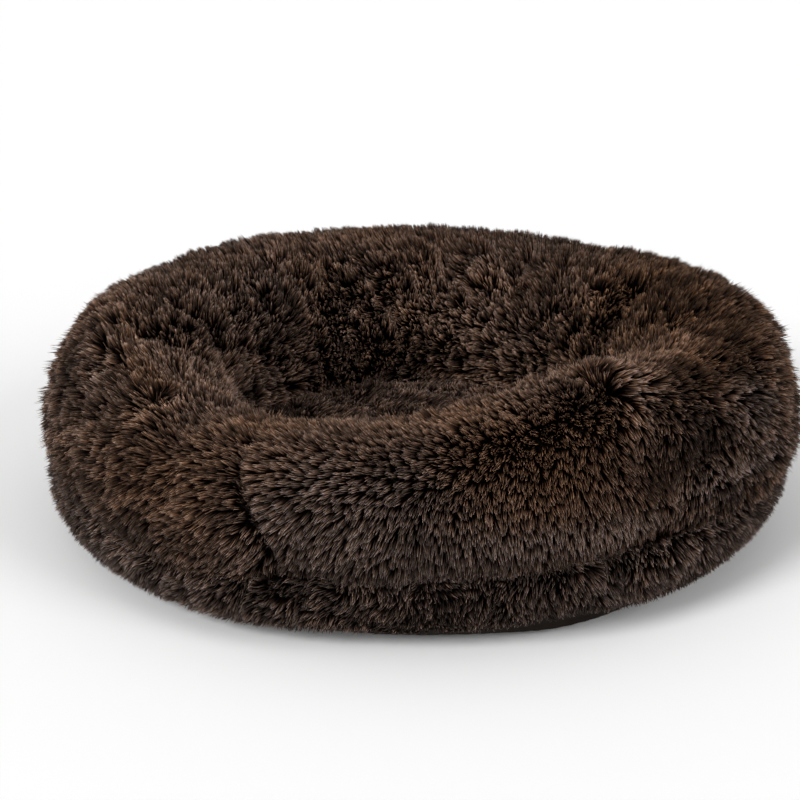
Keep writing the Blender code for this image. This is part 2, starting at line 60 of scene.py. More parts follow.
# Sizes of the cover, the insert and the zip, as in the part.
OUTER_RADIUS = 0.457
RIM_HEIGHT = 0.250
CREST_RADIUS = 0.368
WELL_RADIUS = 0.228
BASE_RADIUS = 0.378
SEAM_HEIGHT = 0.098
UPRIGHT = 0.018
INNER_SEAM_HEIGHT = 0.060
INNER_WALL_HIGH = 0.110
PILE_DEPTH = 0.020
CENTRE_PILE = 0.018
BASE_CLOTH_RISE = 0.020
CLOTH_THICKNESS = 0.0012
# How far the base cloth goes on above its visible edge, under the pile.
CLOTH_TUCK = 0.009
CLEARANCE = 0.0003
COVER_FLOOR = 0.0015
GROOVE_HALF_HEIGHT = 0.007
TAPE_INNER, TAPE_OUTER = 0.43516, 0.43576
TAPE_REACH = 0.013
COIL_INNER, COIL_OUTER = 0.43606, 0.43786
COIL_WIDTH = 0.0026
CHAIN_GAP = 0.0018
CHAIN_FROM, CHAIN_TO = 145.96, 214.05
DOME_POWER = 2.1
CORNER_POWER = 2.0
BACKING_RADIUS = OUTER_RADIUS - PILE_DEPTH
TURN_IN_RADIUS = BASE_RADIUS - PILE_DEPTH
CUSHION_RADIUS = WELL_RADIUS + PILE_DEPTH

# Shares every 30 degrees round the bed, from the front.
HEIGHT_SHARES = (0.97, 1.12, 1.06, 1.07, 1.0, 0.97, 0.98, 1.0, 0.99, 1.0, 0.88, 0.88)
LEAN_SHARES = (0.0, 0.0, 0.04, 0.06, 0.03, 0.0, 0.0, 0.0, 0.0, 0.0, 0.04, 0.04)
BAND_FULLNESS = (1.04, 1.08, 1.04, 1.07, 1.06, 1.06, 1.06, 1.06, 1.06, 1.08, 1.20, 1.18)
BAND_PILE_SHARES = (0.9, 1.25, 1.15, 1.0, 1.0, 1.0, 1.0, 1.0, 1.0, 1.0, 1.0, 1.05)
SEAM_SHARES = (1.05, 1.13, 1.10, 1.0, 1.0, 1.0, 1.0, 1.0, 1.0, 1.0, 0.88, 0.82)

# The panels of the cover, from turn to turn in degrees.
PANELS = {
    "front": (-22.5, 37.5),
    "right": (37.5, 142.5),
    "back": (142.5, 217.5),
    "left": (217.5, 337.5),
}
ZIP_FROM, ZIP_TO = 142.5, 217.5

# How close the locks stand, in metres, and the most that one piece holds.
RIM_SPACING, BAND_SPACING, CENTRE_SPACING = 0.00203, 0.0023, 0.0026
MOST_LOCKS = 19000
# The sizes of clumps in which locks lie alike. The fine ones gather at their tips as well.
FINE_CLUMP, COARSE_CLUMP = 0.0075, 0.019
# How far the backing stands out from the foot of the pile, and how thick it is.
BACKING_OUT = 0.0015
BACKING_THICKNESS = 0.001
# How far the linings lie under the pile's foot, and the fibre under the linings.
LINING_UNDER = 0.0018
FIBRE_UNDER, CUSHION_FIBRE_UNDER = 0.0018, 0.0016

# Above this height the strands are pressed down, to end within so much more.
PRESSED_FROM = cad_box[1][2]
PRESSED_WITHIN = 0.015


# Shapes round the bed.


def round_the_bed(shares, turn):
    """A smooth closed curve through evenly spaced shares, read at turns."""
    shares = np.array(shares)
    count = len(shares)
    position = np.asarray(turn) / (2 * np.pi) * count
    index = np.floor(position).astype(int)
    along = position - index
    before, start, end, after = (shares[(index + step) % count] for step in (-1, 0, 1, 2))
    slope = end - before
    bend = 2 * before - 5 * start + 4 * end - after
    twist = 3 * (start - end) + after - before
    return start + along * (slope + along * (bend + along * twist)) / 2


def superellipse(centre, half_width, half_height, degrees, power):
    turn = np.radians(degrees)
    across = np.sign(np.cos(turn)) * np.abs(np.cos(turn)) ** (2 / power)
    up = np.sign(np.sin(turn)) * np.abs(np.sin(turn)) ** (2 / power)
    return centre[0] + half_width * across, centre[1] + half_height * up


def seam_height(turn):
    return SEAM_HEIGHT * round_the_bed(SEAM_SHARES, turn)


def rim_section(turn, inset):
    """The rim's section at one turn, from the outer seam over the crest to the inner seam."""
    seam = float(seam_height(turn))
    high = seam + UPRIGHT
    lean = float(round_the_bed(LEAN_SHARES, turn))
    crest = CREST_RADIUS + lean * (OUTER_RADIUS - CREST_RADIUS)
    height = RIM_HEIGHT * float(round_the_bed(HEIGHT_SHARES, turn))
    points = [(OUTER_RADIUS - inset, seam), (OUTER_RADIUS - inset, high)]
    for degrees in np.linspace(4, 176, 44):
        outside = degrees <= 90
        foot = high if outside else INNER_WALL_HIGH
        reach = OUTER_RADIUS - crest if outside else crest - WELL_RADIUS
        half = (reach - inset, height - foot - inset)
        points.append(superellipse((crest, foot), *half, degrees, DOME_POWER))
    points.append((WELL_RADIUS + inset, INNER_WALL_HIGH))
    points.append((WELL_RADIUS + inset, INNER_SEAM_HEIGHT))
    return np.array(points)


def cloth_rise(turn):
    """How high the base cloth reaches: it shows most at the front right."""
    return BASE_CLOTH_RISE + 0.014 * bump(apart(turn, 24), 0.17)


def band_section(turn, inset):
    """The lower band's section, from the base cloth's edge up to the seam."""
    seam = float(seam_height(turn))
    top = seam - UPRIGHT
    start = -math.degrees(math.asin(1 - (cloth_rise(turn) + 0.001) / top))
    half = (OUTER_RADIUS - inset - TURN_IN_RADIUS, top - COVER_FLOOR)
    points = []
    for degrees in np.linspace(start, 0, 16):
        points.append(superellipse((TURN_IN_RADIUS, top), *half, degrees, CORNER_POWER))
    points.append((OUTER_RADIUS - inset, seam))
    return np.array(points)


def band_reach(points, turn):
    """How far points lie out towards the tips of the band's pile: 1 is on the part's outline."""
    top = seam_height(turn) - UPRIGHT
    radius = np.hypot(points[:, 0], points[:, 1])
    spare = PILE_DEPTH * (round_the_bed(BAND_PILE_SHARES, turn) - 1)
    inside = BASE_RADIUS - 0.010
    out = np.maximum(radius - inside - spare, 0) / (OUTER_RADIUS - inside)
    down = np.maximum(top - points[:, 2], 0) / (top - 0.006 - 0.7 * (cloth_rise(turn) - 0.020))
    return np.hypot(out, down) / round_the_bed(BAND_FULLNESS, turn)


def cushion_top(radius):
    return 0.054 + 0.016 * (1 - (radius / CUSHION_RADIUS) ** 2)


def centre_section(turn, inset):
    """The centre's section from the edge, under the rim's inner seam, to the axis."""
    radius = np.linspace(WELL_RADIUS + 0.004, 0.002, 40)
    height = cushion_top(radius) + CLEARANCE + CENTRE_PILE - inset
    rounded = risen(radius, 0.200, 0.032)
    return np.stack([radius, height - 0.012 * rounded**2], 1)


# Numbers that look random and are the same on each run.


def mixed(key):
    """Whole numbers stirred into 32 bits."""
    key = key.astype(np.uint64)
    key = (key ^ (key >> np.uint64(15))) * np.uint64(2246822519) & np.uint64(0xFFFFFFFF)
    key = (key ^ (key >> np.uint64(13))) * np.uint64(3266489917) & np.uint64(0xFFFFFFFF)
    return key ^ (key >> np.uint64(16))


def draws(key, seed):
    """One number from 0 to 1 for each whole number."""
    key = np.asarray(key).astype(np.int64) + seed * 7919
    return mixed(mixed(key & 0xFFFFFFFF)).astype(float) / 2**32


def swing(key, seed):
    """One number from -1 to 1 for each whole number."""
    return draws(key, seed) * 2 - 1


def noise(points, scale, seed):
    """Smooth noise from -1 to 1 at points in space."""
    cell = points / scale
    base = np.floor(cell).astype(np.int64)
    part = cell - base
    part = part * part * (3 - 2 * part)
    total = np.zeros(len(points))
    for corner in itertools.product((0, 1), repeat=3):
        at = base + np.array(corner)
        key = at[:, 0] * 73856093 ^ at[:, 1] * 19349663 ^ at[:, 2] * 83492791
        weight = np.prod(np.where(corner, part, 1 - part), axis=1)
        total += weight * draws(key & 0xFFFFFFFF, seed)
    return total * 2 - 1


def bump(distance, width):
    return np.exp(-((distance / width) ** 2))


def risen(value, start, width):
    """From 0 at start to 1 a width further on. A negative width falls the other way."""
    return np.clip((value - start) / width, 0, 1)


def apart(turn, degrees):
    """How far turns are from one in degrees, in radians, with its sign."""
    return (turn - math.radians(degrees) + np.pi) % (2 * np.pi) - np.pi


def placed(radius, turn, height):
    """Points in space at radii, turns and heights."""
    radius, turn, height = np.broadcast_arrays(radius, turn, height)
    return np.stack([radius * np.sin(turn), -radius * np.cos(turn), height], -1)


def unit(vectors):
    return vectors / np.maximum(np.linalg.norm(vectors, axis=-1, keepdims=True), 1e-9)


def spread(grid, turns):
    """(radius, height) on a grid, one row at each turn, as points in space."""
    return placed(grid[..., 0], turns[:, None], grid[..., 1])


class Surface:
    """A sheet round the bed, read at turns and at shares of the way along its section."""

    TURNS = 720

    def __init__(self, section, inset, steps, relief=None):
        self.steps = steps
        turns = np.arange(self.TURNS + 1) / self.TURNS * 2 * np.pi
        grid = np.zeros((self.TURNS + 1, steps, 2))
        lengths = np.zeros(self.TURNS + 1)
        for row, turn in enumerate(turns):
            outline = section(turn, inset)
            reach = np.append(0, np.cumsum(np.linalg.norm(np.diff(outline, axis=0), axis=1)))
            lengths[row] = reach[-1]
            wanted = np.linspace(0, reach[-1], steps)
            for side in (0, 1):
                grid[row, :, side] = np.interp(wanted, reach, outline[:, side])
        self.length = float(lengths.mean())
        self.radii = grid[:, :, 0].mean(0)
        along = np.gradient(grid, axis=1)
        facing = np.stack([along[..., 1], -along[..., 0]], -1)
        facing /= np.linalg.norm(facing, axis=-1, keepdims=True)
        if relief:
            share = np.broadcast_to(np.linspace(0, 1, steps), grid.shape[:2])
            around = np.broadcast_to(turns[:, None], grid.shape[:2])
            flat = spread(grid, turns).reshape(-1, 3)
            depth = relief(around.ravel(), share.ravel(), flat, self.length)
            grid = grid + facing * depth.reshape(grid.shape[:2])[..., None]
        self.points = spread(grid, turns)
        down = -np.gradient(self.points, axis=1)
        whole = self.points[:-1]
        across = np.roll(whole, -1, axis=0) - np.roll(whole, 1, axis=0)
        across = np.concatenate([across, across[:1]])
        normal = np.cross(down, across)
        flip = np.sign((normal * spread(facing, turns)).sum(-1, keepdims=True))
        self.normals = unit(normal * flip)
        self.downs = unit(down)

    def read(self, values, turn, share):
        row = turn / (2 * np.pi) % 1 * self.TURNS
        column = np.clip(share, 0, 1) * (self.steps - 1)
        i = np.minimum(row.astype(int), self.TURNS - 1)
        j = np.minimum(column.astype(int), self.steps - 2)
        u, v = (row - i)[:, None], (column - j)[:, None]
        low = values[i, j] * (1 - u) + values[i + 1, j] * u
        high = values[i, j + 1] * (1 - u) + values[i + 1, j + 1] * u
        return low * (1 - v) + high * v

    def at(self, turn, share):
        """Points, normals, and unit directions down the outside and round the bed."""
        points = self.read(self.points, turn, share)
        normal = unit(self.read(self.normals, turn, share))
        down = unit(self.read(self.downs, turn, share))
        ahead = np.stack([np.cos(turn), np.sin(turn), np.zeros(len(turn))], 1)
        ahead = unit(ahead - normal * (ahead * normal).sum(1, keepdims=True))
        return points, normal, down, ahead

    def scattered(self, spacing, seed, start=0.0, end=1.0):
        """Turns and shares of points spread evenly, each a little off its place."""
        rows = max(2, round(self.length * (end - start) / spacing))
        found = []
        for row in range(rows):
            share = start + (end - start) * (row + 0.5) / rows
            radius = max(np.interp(share, np.linspace(0, 1, self.steps), self.radii), spacing)
            count = max(4, round(2 * np.pi * radius / spacing))
            slot = np.arange(count)
            key = slot + row * 100003
            turn = (slot + row % 2 / 2 + draws(key, seed) - 0.5) / count * 2 * np.pi
            jitter = (draws(key, seed + 1) - 0.5) / rows * (end - start)
            found.append(np.stack([turn % (2 * np.pi), np.full(count, share) + jitter], 1))
        both = np.concatenate(found)
        return both[:, 0], both[:, 1]


# How the cover's surface dips at its seams and swells between them.

# Each panel seam: its turn on the upper wall, how it slants in section, and how deep it draws in.
SEAM_LINES = ((-25.0, -17.0, 0.013), (34.5, -8.0, 0.004), (142.5, 0.0, 0.004), (217.5, 0.0, 0.004))
# Where a seam's end is pinched: turn and share of the way.
PINCH = (31.0, 0.395)
# Hollows: turn and share of the way, depth, and reach round the bed and along the section.
HOLLOWS = (
    (29.0, 0.420, 0.005, 0.012, 0.030),
    (20.0, 0.380, 0.006, 0.040, 0.020),
    (32.0, 0.225, 0.007, 0.018, 0.022),
    (39.0, 0.135, 0.011, 0.020, 0.020),
    (46.0, 0.185, 0.008, 0.036, 0.014),
    (56.0, 0.125, 0.007, 0.040, 0.012),
    (50.0, 0.345, 0.006, 0.040, 0.024),
    (80.0, 0.490, 0.008, 0.040, 0.016),
    (-99.0, 0.600, 0.022, 0.022, 0.060),
    (-80.0, 0.530, 0.022, 0.020, 0.050),
    (-68.0, 0.340, 0.014, 0.024, 0.030),
    (-41.0, 0.400, 0.012, 0.034, 0.040),
    (-36.0, 0.180, 0.010, 0.020, 0.040),
    (-20.0, 0.560, 0.005, 0.040, 0.020),
    (112.0, 0.600, 0.009, 0.020, 0.040),
    (92.0, 0.620, 0.007, 0.016, 0.045),
    (150.0, 0.600, 0.008, 0.018, 0.050),
    (-150.0, 0.560, 0.009, 0.020, 0.050),
    (-128.0, 0.640, 0.007, 0.018, 0.040),
)
# Whorls, from which the pile fans out: turn, share, reach and strength.
WHORLS = (
    (*PINCH, 0.046, 0.85),
    (-54.0, 0.410, 0.034, 0.75),
    (-88.0, 0.470, 0.032, 0.45),
    (-112.0, 0.520, 0.036, 0.50),
    (98.0, 0.560, 0.034, 0.45),
    (126.0, 0.590, 0.036, 0.55),
    (-170.0, 0.600, 0.040, 0.50),
    (165.0, 0.550, 0.036, 0.50),
)


def beside_seams(turn, share):
    """How far each place is from the nearest seam between panels, in metres, and its depth."""
    nearest, depth = 9.0, np.zeros(len(turn))
    for degrees, slant, deep in SEAM_LINES:
        line = np.radians(slant) * (share - 0.3) + 0.022 * np.sin(17 * share + degrees)
        away = np.abs(apart(turn, degrees) - line) * OUTER_RADIUS
        depth = np.where(away < nearest, deep, depth)
        nearest = np.minimum(nearest, away)
    return nearest, depth


def beside(turn, share, length, degrees, level):
    """Offsets from one place on the rim: round the bed, and along the section."""
    return apart(turn, degrees) * CREST_RADIUS, (share - level) * length


def broad(turn, degrees, width, high):
    """A bump round the bed with a flat top at 1."""
    return np.clip(high * bump(apart(turn, degrees), width), 0, 1)


def seam_draw(turn):
    """How much the lower seam shows: it is nearly lost in pile on the left."""
    lost = 0.65 * broad(turn, -66, 0.62, 1.3)
    return 1 - lost + 0.35 * np.sin(turn * 13 + 1.7 * np.sin(turn * 5))


def hollow(turn, share, length):
    """How deep the hollows go at each place."""
    depth = np.zeros(len(turn))
    for degrees, level, deep, wide, tall in HOLLOWS:
        across, along = beside(turn, share, length, degrees, level)
        depth += deep * bump(across, wide) * bump(along, tall)
    return depth


def right_side(turn):
    return broad(turn, 95, 0.95, 1.4)


def left_side(turn, share):
    """From 0 to 1: the top of the left side, where the pile is ruffled most."""
    around = broad(turn, -75, 0.55, 1.4)
    return around * risen(share, 0.25, 0.15)


def rim_relief(turn, share, points, length):
    """How far the rim swells out, or dips where this is below 0."""
    away = share * length
    depth = -0.007 * bump(away, 0.013) * seam_draw(turn) - 0.003 * bump(length - away, 0.015)
    seam, drawn = beside_seams(turn, share)
    drawn = drawn * (0.25 + 0.75 * risen(share, 0.40, -0.20))
    depth -= drawn * bump(seam, 0.011) + 0.35 * drawn * bump(seam, 0.034)
    depth -= hollow(turn, share, length)
    rough = np.maximum(risen(share, 0.50, 0.10), left_side(turn, share))
    depth += rough * (0.0045 * noise(points, 0.055, 9) + 0.0035 * noise(points, 0.030, 10))
    depth += 0.0040 * right_side(turn)
    return depth + 0.0035 * noise(points, 0.110, 3) + 0.0015 * noise(points, 0.045, 4)


def band_crevice(turn, share):
    """How near a place is to the crevice that goes on from the front left seam: 1 is on it."""
    line = apart(turn, -23) - math.radians(26) * (1 - share)
    return bump(line * OUTER_RADIUS, 0.011)


def band_relief(turn, share, points, length):
    away = (1 - share) * length
    seam, drawn = beside_seams(turn, np.zeros(len(turn)))
    drawn = np.where(np.abs(apart(turn, -20)) < 0.4, 0, drawn)
    depth = -0.006 * bump(away, 0.010) * seam_draw(turn) - 0.6 * drawn * bump(seam, 0.012)
    depth -= 0.009 * band_crevice(turn, share)
    return depth + 0.0025 * noise(points, 0.070, 5) + 0.001 * noise(points, 0.030, 6)


def centre_relief(turn, share, points, length):
    return 0.0030 * noise(points, 0.120, 7) + 0.001 * noise(points, 0.040, 8)


# Materials.


class Look:
    """A Principled material with a few shorthands for its nodes."""

    def __init__(self, name, roughness=0.6, **values):
        self.made = bpy.data.materials.new(name)
        self.made.use_nodes = True
        self.tree = self.made.node_tree
        self.shader = self.tree.nodes["Principled BSDF"]
        self.shader.inputs["Roughness"].default_value = roughness
        for socket, value in values.items():
            self.shader.inputs[socket.replace("_", " ")].default_value = value

    def node(self, kind, links=(), **settings):
        made = self.tree.nodes.new(kind)
        for name, value in settings.items():
            setattr(made, name, value)
        for socket, source in dict(links).items():
            self.feed(made.inputs[socket], source)
        return made

    def feed(self, socket, source):
        """Give a socket a link, or else a plain value."""
        if hasattr(source, "is_output"):
            self.tree.links.new(source, socket)
        else:
            socket.default_value = source

    def math(self, operation, first, second=0.0):
        return self.node("ShaderNodeMath", {0: first, 1: second}, operation=operation).outputs[0]

    def mix(self, share, first, second, blend="MIX"):
        links = {0: share, 6: first, 7: second}
        return self.node("ShaderNodeMix", links, data_type="RGBA", blend_type=blend).outputs[2]

    def ramp(self, source, stops):
        made = self.node("ShaderNodeValToRGB", {0: source})
        elements = made.color_ramp.elements
        while len(elements) < len(stops):
            elements.new(0.5)
        for element, (place, colour) in zip(elements, stops):
            element.position = place
            element.color = (*colour, 1) if hasattr(colour, "__len__") else (colour,) * 3 + (1,)
        return made.outputs[0]

    def noise(self, scale, detail=3.0, roughness=0.55, stretch=None):
        where = self.node("ShaderNodeTexCoord").outputs["Object"]
        if stretch:
            where = self.node("ShaderNodeMapping", {0: where, 3: stretch}).outputs[0]
        links = {"Vector": where, "Scale": scale, "Detail": detail, "Roughness": roughness}
        return self.node("ShaderNodeTexNoise", links).outputs[0]

    def colour(self, source):
        self.tree.links.new(source, self.shader.inputs["Base Color"])

    def rough(self, source):
        self.tree.links.new(source, self.shader.inputs["Roughness"])

    def bumped(self, height, distance, strength=1.0):
        made = self.node(
            "ShaderNodeBump", {"Height": height, "Distance": distance, "Strength": strength}
        )
        self.tree.links.new(made.outputs[0], self.shader.inputs["Normal"])


HUES = 8
COOL_BROWN = (0.128, 0.106, 0.100, 1)
WARM_BROWN = (0.150, 0.094, 0.060, 1)


def fur_look():
    """Each lock's place on its map holds its hue and lightness, and runs from root to tip."""
    look = Look("fur_pile", 0.44, Specular_IOR_Level=0.05)
    where = look.node("ShaderNodeUVMap", uv_map="OFBake").outputs[0]
    split = look.node("ShaderNodeSeparateXYZ", {0: where})
    column = look.math("MULTIPLY", split.outputs[0], HUES)
    hue = look.math("DIVIDE", look.math("FLOOR", column), HUES - 1)
    light = look.math("FRACT", column)
    base = look.mix(hue, COOL_BROWN, WARM_BROWN)
    shade = look.ramp(light, [(0.0, 0.14), (0.5, 0.84), (1.0, 3.4)])
    base = look.mix(1.0, base, shade, "MULTIPLY")
    # Down each lock the colour darkens to the root and pales to the tip. This is partly the pile's
    # own colour, partly painted shade in the gaps between locks and a painted highlight on their
    # tips.
    stops = [
        (0.0, (0.012, 0.005, 0.002)),
        (0.58, (0.052, 0.028, 0.016)),
        (0.82, (0.66, 0.50, 0.38)),
        (1.0, (2.9, 2.8, 2.75)),
    ]
    along = look.ramp(split.outputs[1], stops)
    look.colour(look.mix(1.0, base, along, "MULTIPLY"))
    return look.made


def mottled(name, roughness, grain, low, high, depth=None, strength=1.0, **values):
    """A look with one noise for its tones and its bumps, and that noise."""
    look = Look(name, roughness, **values)
    tone = look.noise(*grain)
    look.colour(look.ramp(tone, [(0.3, low), (0.7, high)]))
    if depth:
        look.bumped(tone, depth, strength)
    return look, tone


def backing_look():
    # Near black: partly the backing's own colour, partly painted shade at the foot of the pile.
    tones = (0.004, 0.003, 0.002), (0.012, 0.008, 0.006)
    matt = {"Specular_IOR_Level": 0.05}
    return mottled("fur_backing", 0.9, (900.0, 2.0), *tones, 0.0004, **matt)[0].made


# Meshes.


def linked(name, data):
    made = bpy.data.objects.new(name, data)
    bpy.context.scene.collection.objects.link(made)
    return made


def add_mesh(name, points, corners, sizes, look, uv=None, smooth=True):
    """An object from arrays: points, the corners of all faces in a row, and each face's size."""
    mesh = bpy.data.meshes.new(name)
    mesh.vertices.add(len(points))
    mesh.vertices.foreach_set("co", np.ascontiguousarray(points, np.float32).ravel())
    mesh.loops.add(len(corners))
    mesh.loops.foreach_set("vertex_index", np.ascontiguousarray(corners, np.int32))
    mesh.polygons.add(len(sizes))
    starts = np.append(0, np.cumsum(sizes)[:-1])
    mesh.polygons.foreach_set("loop_start", starts.astype(np.int32))
    mesh.polygons.foreach_set("use_smooth", np.full(len(sizes), smooth))
    if uv is not None:
        layer = mesh.uv_layers.new(name="OFBake")
        layer.data.foreach_set("uv", np.ascontiguousarray(uv, np.float32).ravel())
    mesh.update(calc_edges=True)
    mesh.validate()
    mesh.materials.append(look)
    return linked(name, mesh)


def outward(points, corners, sizes):
    """The corners of a closed mesh's faces, turned over if the mesh is inside out."""
    ends = np.cumsum(sizes)
    starts = ends - sizes
    after = np.roll(corners, -1)
    after[ends - 1] = corners[starts]
    first = np.repeat(points[corners[starts]], sizes, axis=0)
    if (first * np.cross(points[corners], points[after])).sum() < 0:
        faces = zip(starts, ends)
        corners = np.concatenate([corners[start:end][::-1] for start, end in faces])
    return corners


def skinned(name, rings, look, joined=False, strips=False, uv=None, smooth=True):
    """A closed mesh through a grid of points, which is a loop along its first axis. Along its
    second it is joined too, or has two caps, each one face or a strip between the loop's halves."""
    rows, steps = rings.shape[:2]
    index = np.arange(rows * steps).reshape(rows, steps)
    after = np.roll(index, -1, axis=0)
    faces = np.stack([index, after, np.roll(after, -1, axis=1), np.roll(index, -1, axis=1)], -1)
    faces = (faces if joined else faces[:, :-1]).reshape(-1, 4)
    corners, sizes = faces.ravel(), np.full(len(faces), 4)
    if not joined:
        cap = np.arange(rows)[None]
        if strips:
            half = np.arange(rows // 2 - 1)
            cap = np.stack([half, half + 1, rows - 2 - half, rows - 1 - half], -1)
        ends = index[cap[:, ::-1], 0], index[cap, -1]
        corners = np.concatenate([corners, *(end.ravel() for end in ends)])
        sizes = np.append(sizes, np.full(2 * len(cap), cap.shape[1]))
    points = rings.reshape(-1, 3)
    corners = outward(points, corners, sizes)
    if uv is not None:
        uv = uv.reshape(-1, 2)[corners]
    return add_mesh(name, points, corners, sizes, look, uv, smooth)


def stands_for(made, node, body="bed"):
    """Put a piece on the body that it rides on, and hide the node that it stands for."""
    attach(made, body)
    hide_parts(node)


# A lock's corners in section, where its rings stand on the way to its tip, how wide it is there,
# and how flat. Its bend is worked out in finer steps.
SIDES = 3
RINGS = (0.0, 0.50)
TAPER = np.array([0.8, 1.0])
FLATNESS = 0.8
FINE_STEPS = 13
# Where the lightness starts in a hue's column of the map, and what it and a lock's width take up.
LIGHT_FROM, LIGHT_SPAN, LOCK_SPAN = 0.02, 0.76, 0.20


def lock_mesh(locks):
    """Points, corners, face sizes and map places of closed tapered locks."""
    root, normal, comb = locks["root"], locks["normal"], locks["comb"]
    count = len(root)
    side = np.cross(normal, comb)
    steps = np.array([*RINGS, 1.0])
    fine = np.linspace(0, 1, FINE_STEPS)
    lean = locks["lean_root"][:, None] + (locks["lean_tip"] - locks["lean_root"])[:, None] * fine
    up = np.cumsum(np.cos(lean), axis=1) / len(fine)
    out = np.cumsum(np.sin(lean), axis=1) / len(fine)
    pick = np.round(steps * (len(fine) - 1)).astype(int)
    up = (up - up[:, :1])[:, pick]
    out = (out - out[:, :1])[:, pick]
    length = locks["length"][:, None]
    line = root[:, None] + normal[:, None] * (up * length)[..., None]
    line = line + comb[:, None] * (out * length)[..., None]
    sway = locks["sway"][:, None] * steps**2
    line = line + side[:, None] * sway[..., None]
    line = line + (locks["tip"] - line[:, -1])[:, None] * (steps**1.4)[:, None]
    above = np.maximum(line[..., 2] - PRESSED_FROM, 0)
    line[..., 2] += PRESSED_WITHIN * (1 - np.exp(-above / PRESSED_WITHIN)) - above
    line[..., 2] = np.clip(line[..., 2], locks["lowest"][:, None], locks["highest"][:, None])
    ahead = unit(np.gradient(line, axis=1))
    upward = unit(np.cross(ahead, np.broadcast_to(side[:, None], ahead.shape)))
    across = np.cross(upward, ahead)
    half = locks["width"][:, None] / 2 * TAPER
    points = np.zeros((count, len(RINGS) * SIDES + 1, 3))
    for slot in range(SIDES):
        turn = locks["roll"] + 2 * np.pi * slot / SIDES
        wide = (np.cos(turn)[:, None] * half)[..., None]
        tall = (np.sin(turn)[:, None] * half * FLATNESS)[..., None]
        ring = line[:, :-1] + across[:, :-1] * wide + upward[:, :-1] * tall
        points[:, slot : len(RINGS) * SIDES : SIDES] = ring
    points[:, -1] = line[:, -1]
    faces, sizes, places = [], [], []
    levels = [*RINGS, 1.0]
    for level in range(len(RINGS) - 1):
        for slot in range(SIDES):
            after = (slot + 1) % SIDES
            low, high = level * SIDES, (level + 1) * SIDES
            faces += [low + slot, low + after, high + after, high + slot]
            sizes.append(4)
            a, b = slot / SIDES, (slot + 1) / SIDES
            v, w = levels[level], levels[level + 1]
            places += [(a, v), (b, v), (b, w), (a, w)]
    tip, last = len(RINGS) * SIDES, (len(RINGS) - 1) * SIDES
    for slot in range(SIDES):
        faces += [last + slot, last + (slot + 1) % SIDES, tip]
        sizes.append(3)
        middle = (slot + 0.5) / SIDES
        places += [(slot / SIDES, levels[-2]), ((slot + 1) / SIDES, levels[-2]), (middle, 1.0)]
    faces += list(range(SIDES))[::-1]
    sizes.append(SIDES)
    places += [(1.0, 0.0), (0.5, 0.02), (0.0, 0.0)]
    per_lock = points.shape[1]
    corners = (np.arange(count)[:, None] * per_lock + np.array(faces)).ravel()
    places = np.array(places)
    column = np.floor(np.clip(locks["hue"], 0, 0.999) * HUES)
    light = LIGHT_FROM + LIGHT_SPAN * np.clip(locks["light"], 0, 1)
    start = (column + light) / HUES
    uv = np.zeros((count, len(faces), 2))
    uv[:, :, 0] = start[:, None] + places[None, :, 0] * LOCK_SPAN / HUES
    uv[:, :, 1] = 0.02 + 0.96 * places[None, :, 1]
    return points.reshape(-1, 3), corners, np.tile(sizes, count), uv.reshape(-1, 2)


def clumped(turn, share, length, radius, size, points, seed):
    """A whole number for each place, the same for places in one uneven clump."""
    warp = 0.45
    across = turn * radius / size + warp * noise(points, size * 1.3, seed)
    along = share * length / size + warp * noise(points, size * 1.3, seed + 1)
    odd = np.floor(along) % 2 * 0.5
    return np.floor(across + odd).astype(np.int64) * 4096 + np.floor(along).astype(np.int64)


def gathered(points, clump):
    """For each point, the middle of the points of its clump."""
    index = np.unique(clump, return_inverse=True)[1]
    total = np.stack([np.bincount(index, points[:, k]) for k in range(3)], 1)
    return (total / np.bincount(index)[:, None])[index]


def beside_zip(turn, radius, key, side):
    """The lowest and highest that locks reach, so that the zip's slider and pull run free."""
    margin, well_inside = 0.5, 0.40
    start, end = math.radians(ZIP_FROM - margin), math.radians(ZIP_TO + margin)
    there = (turn > start) & (turn < end) & (radius > well_inside)
    height = SEAM_HEIGHT + side * (0.0060 + 0.0035 * key)
    lowest = np.where(there & (side > 0), height, -1.0)
    highest = np.where(there & (side < 0), height, 1.0)
    return lowest, highest


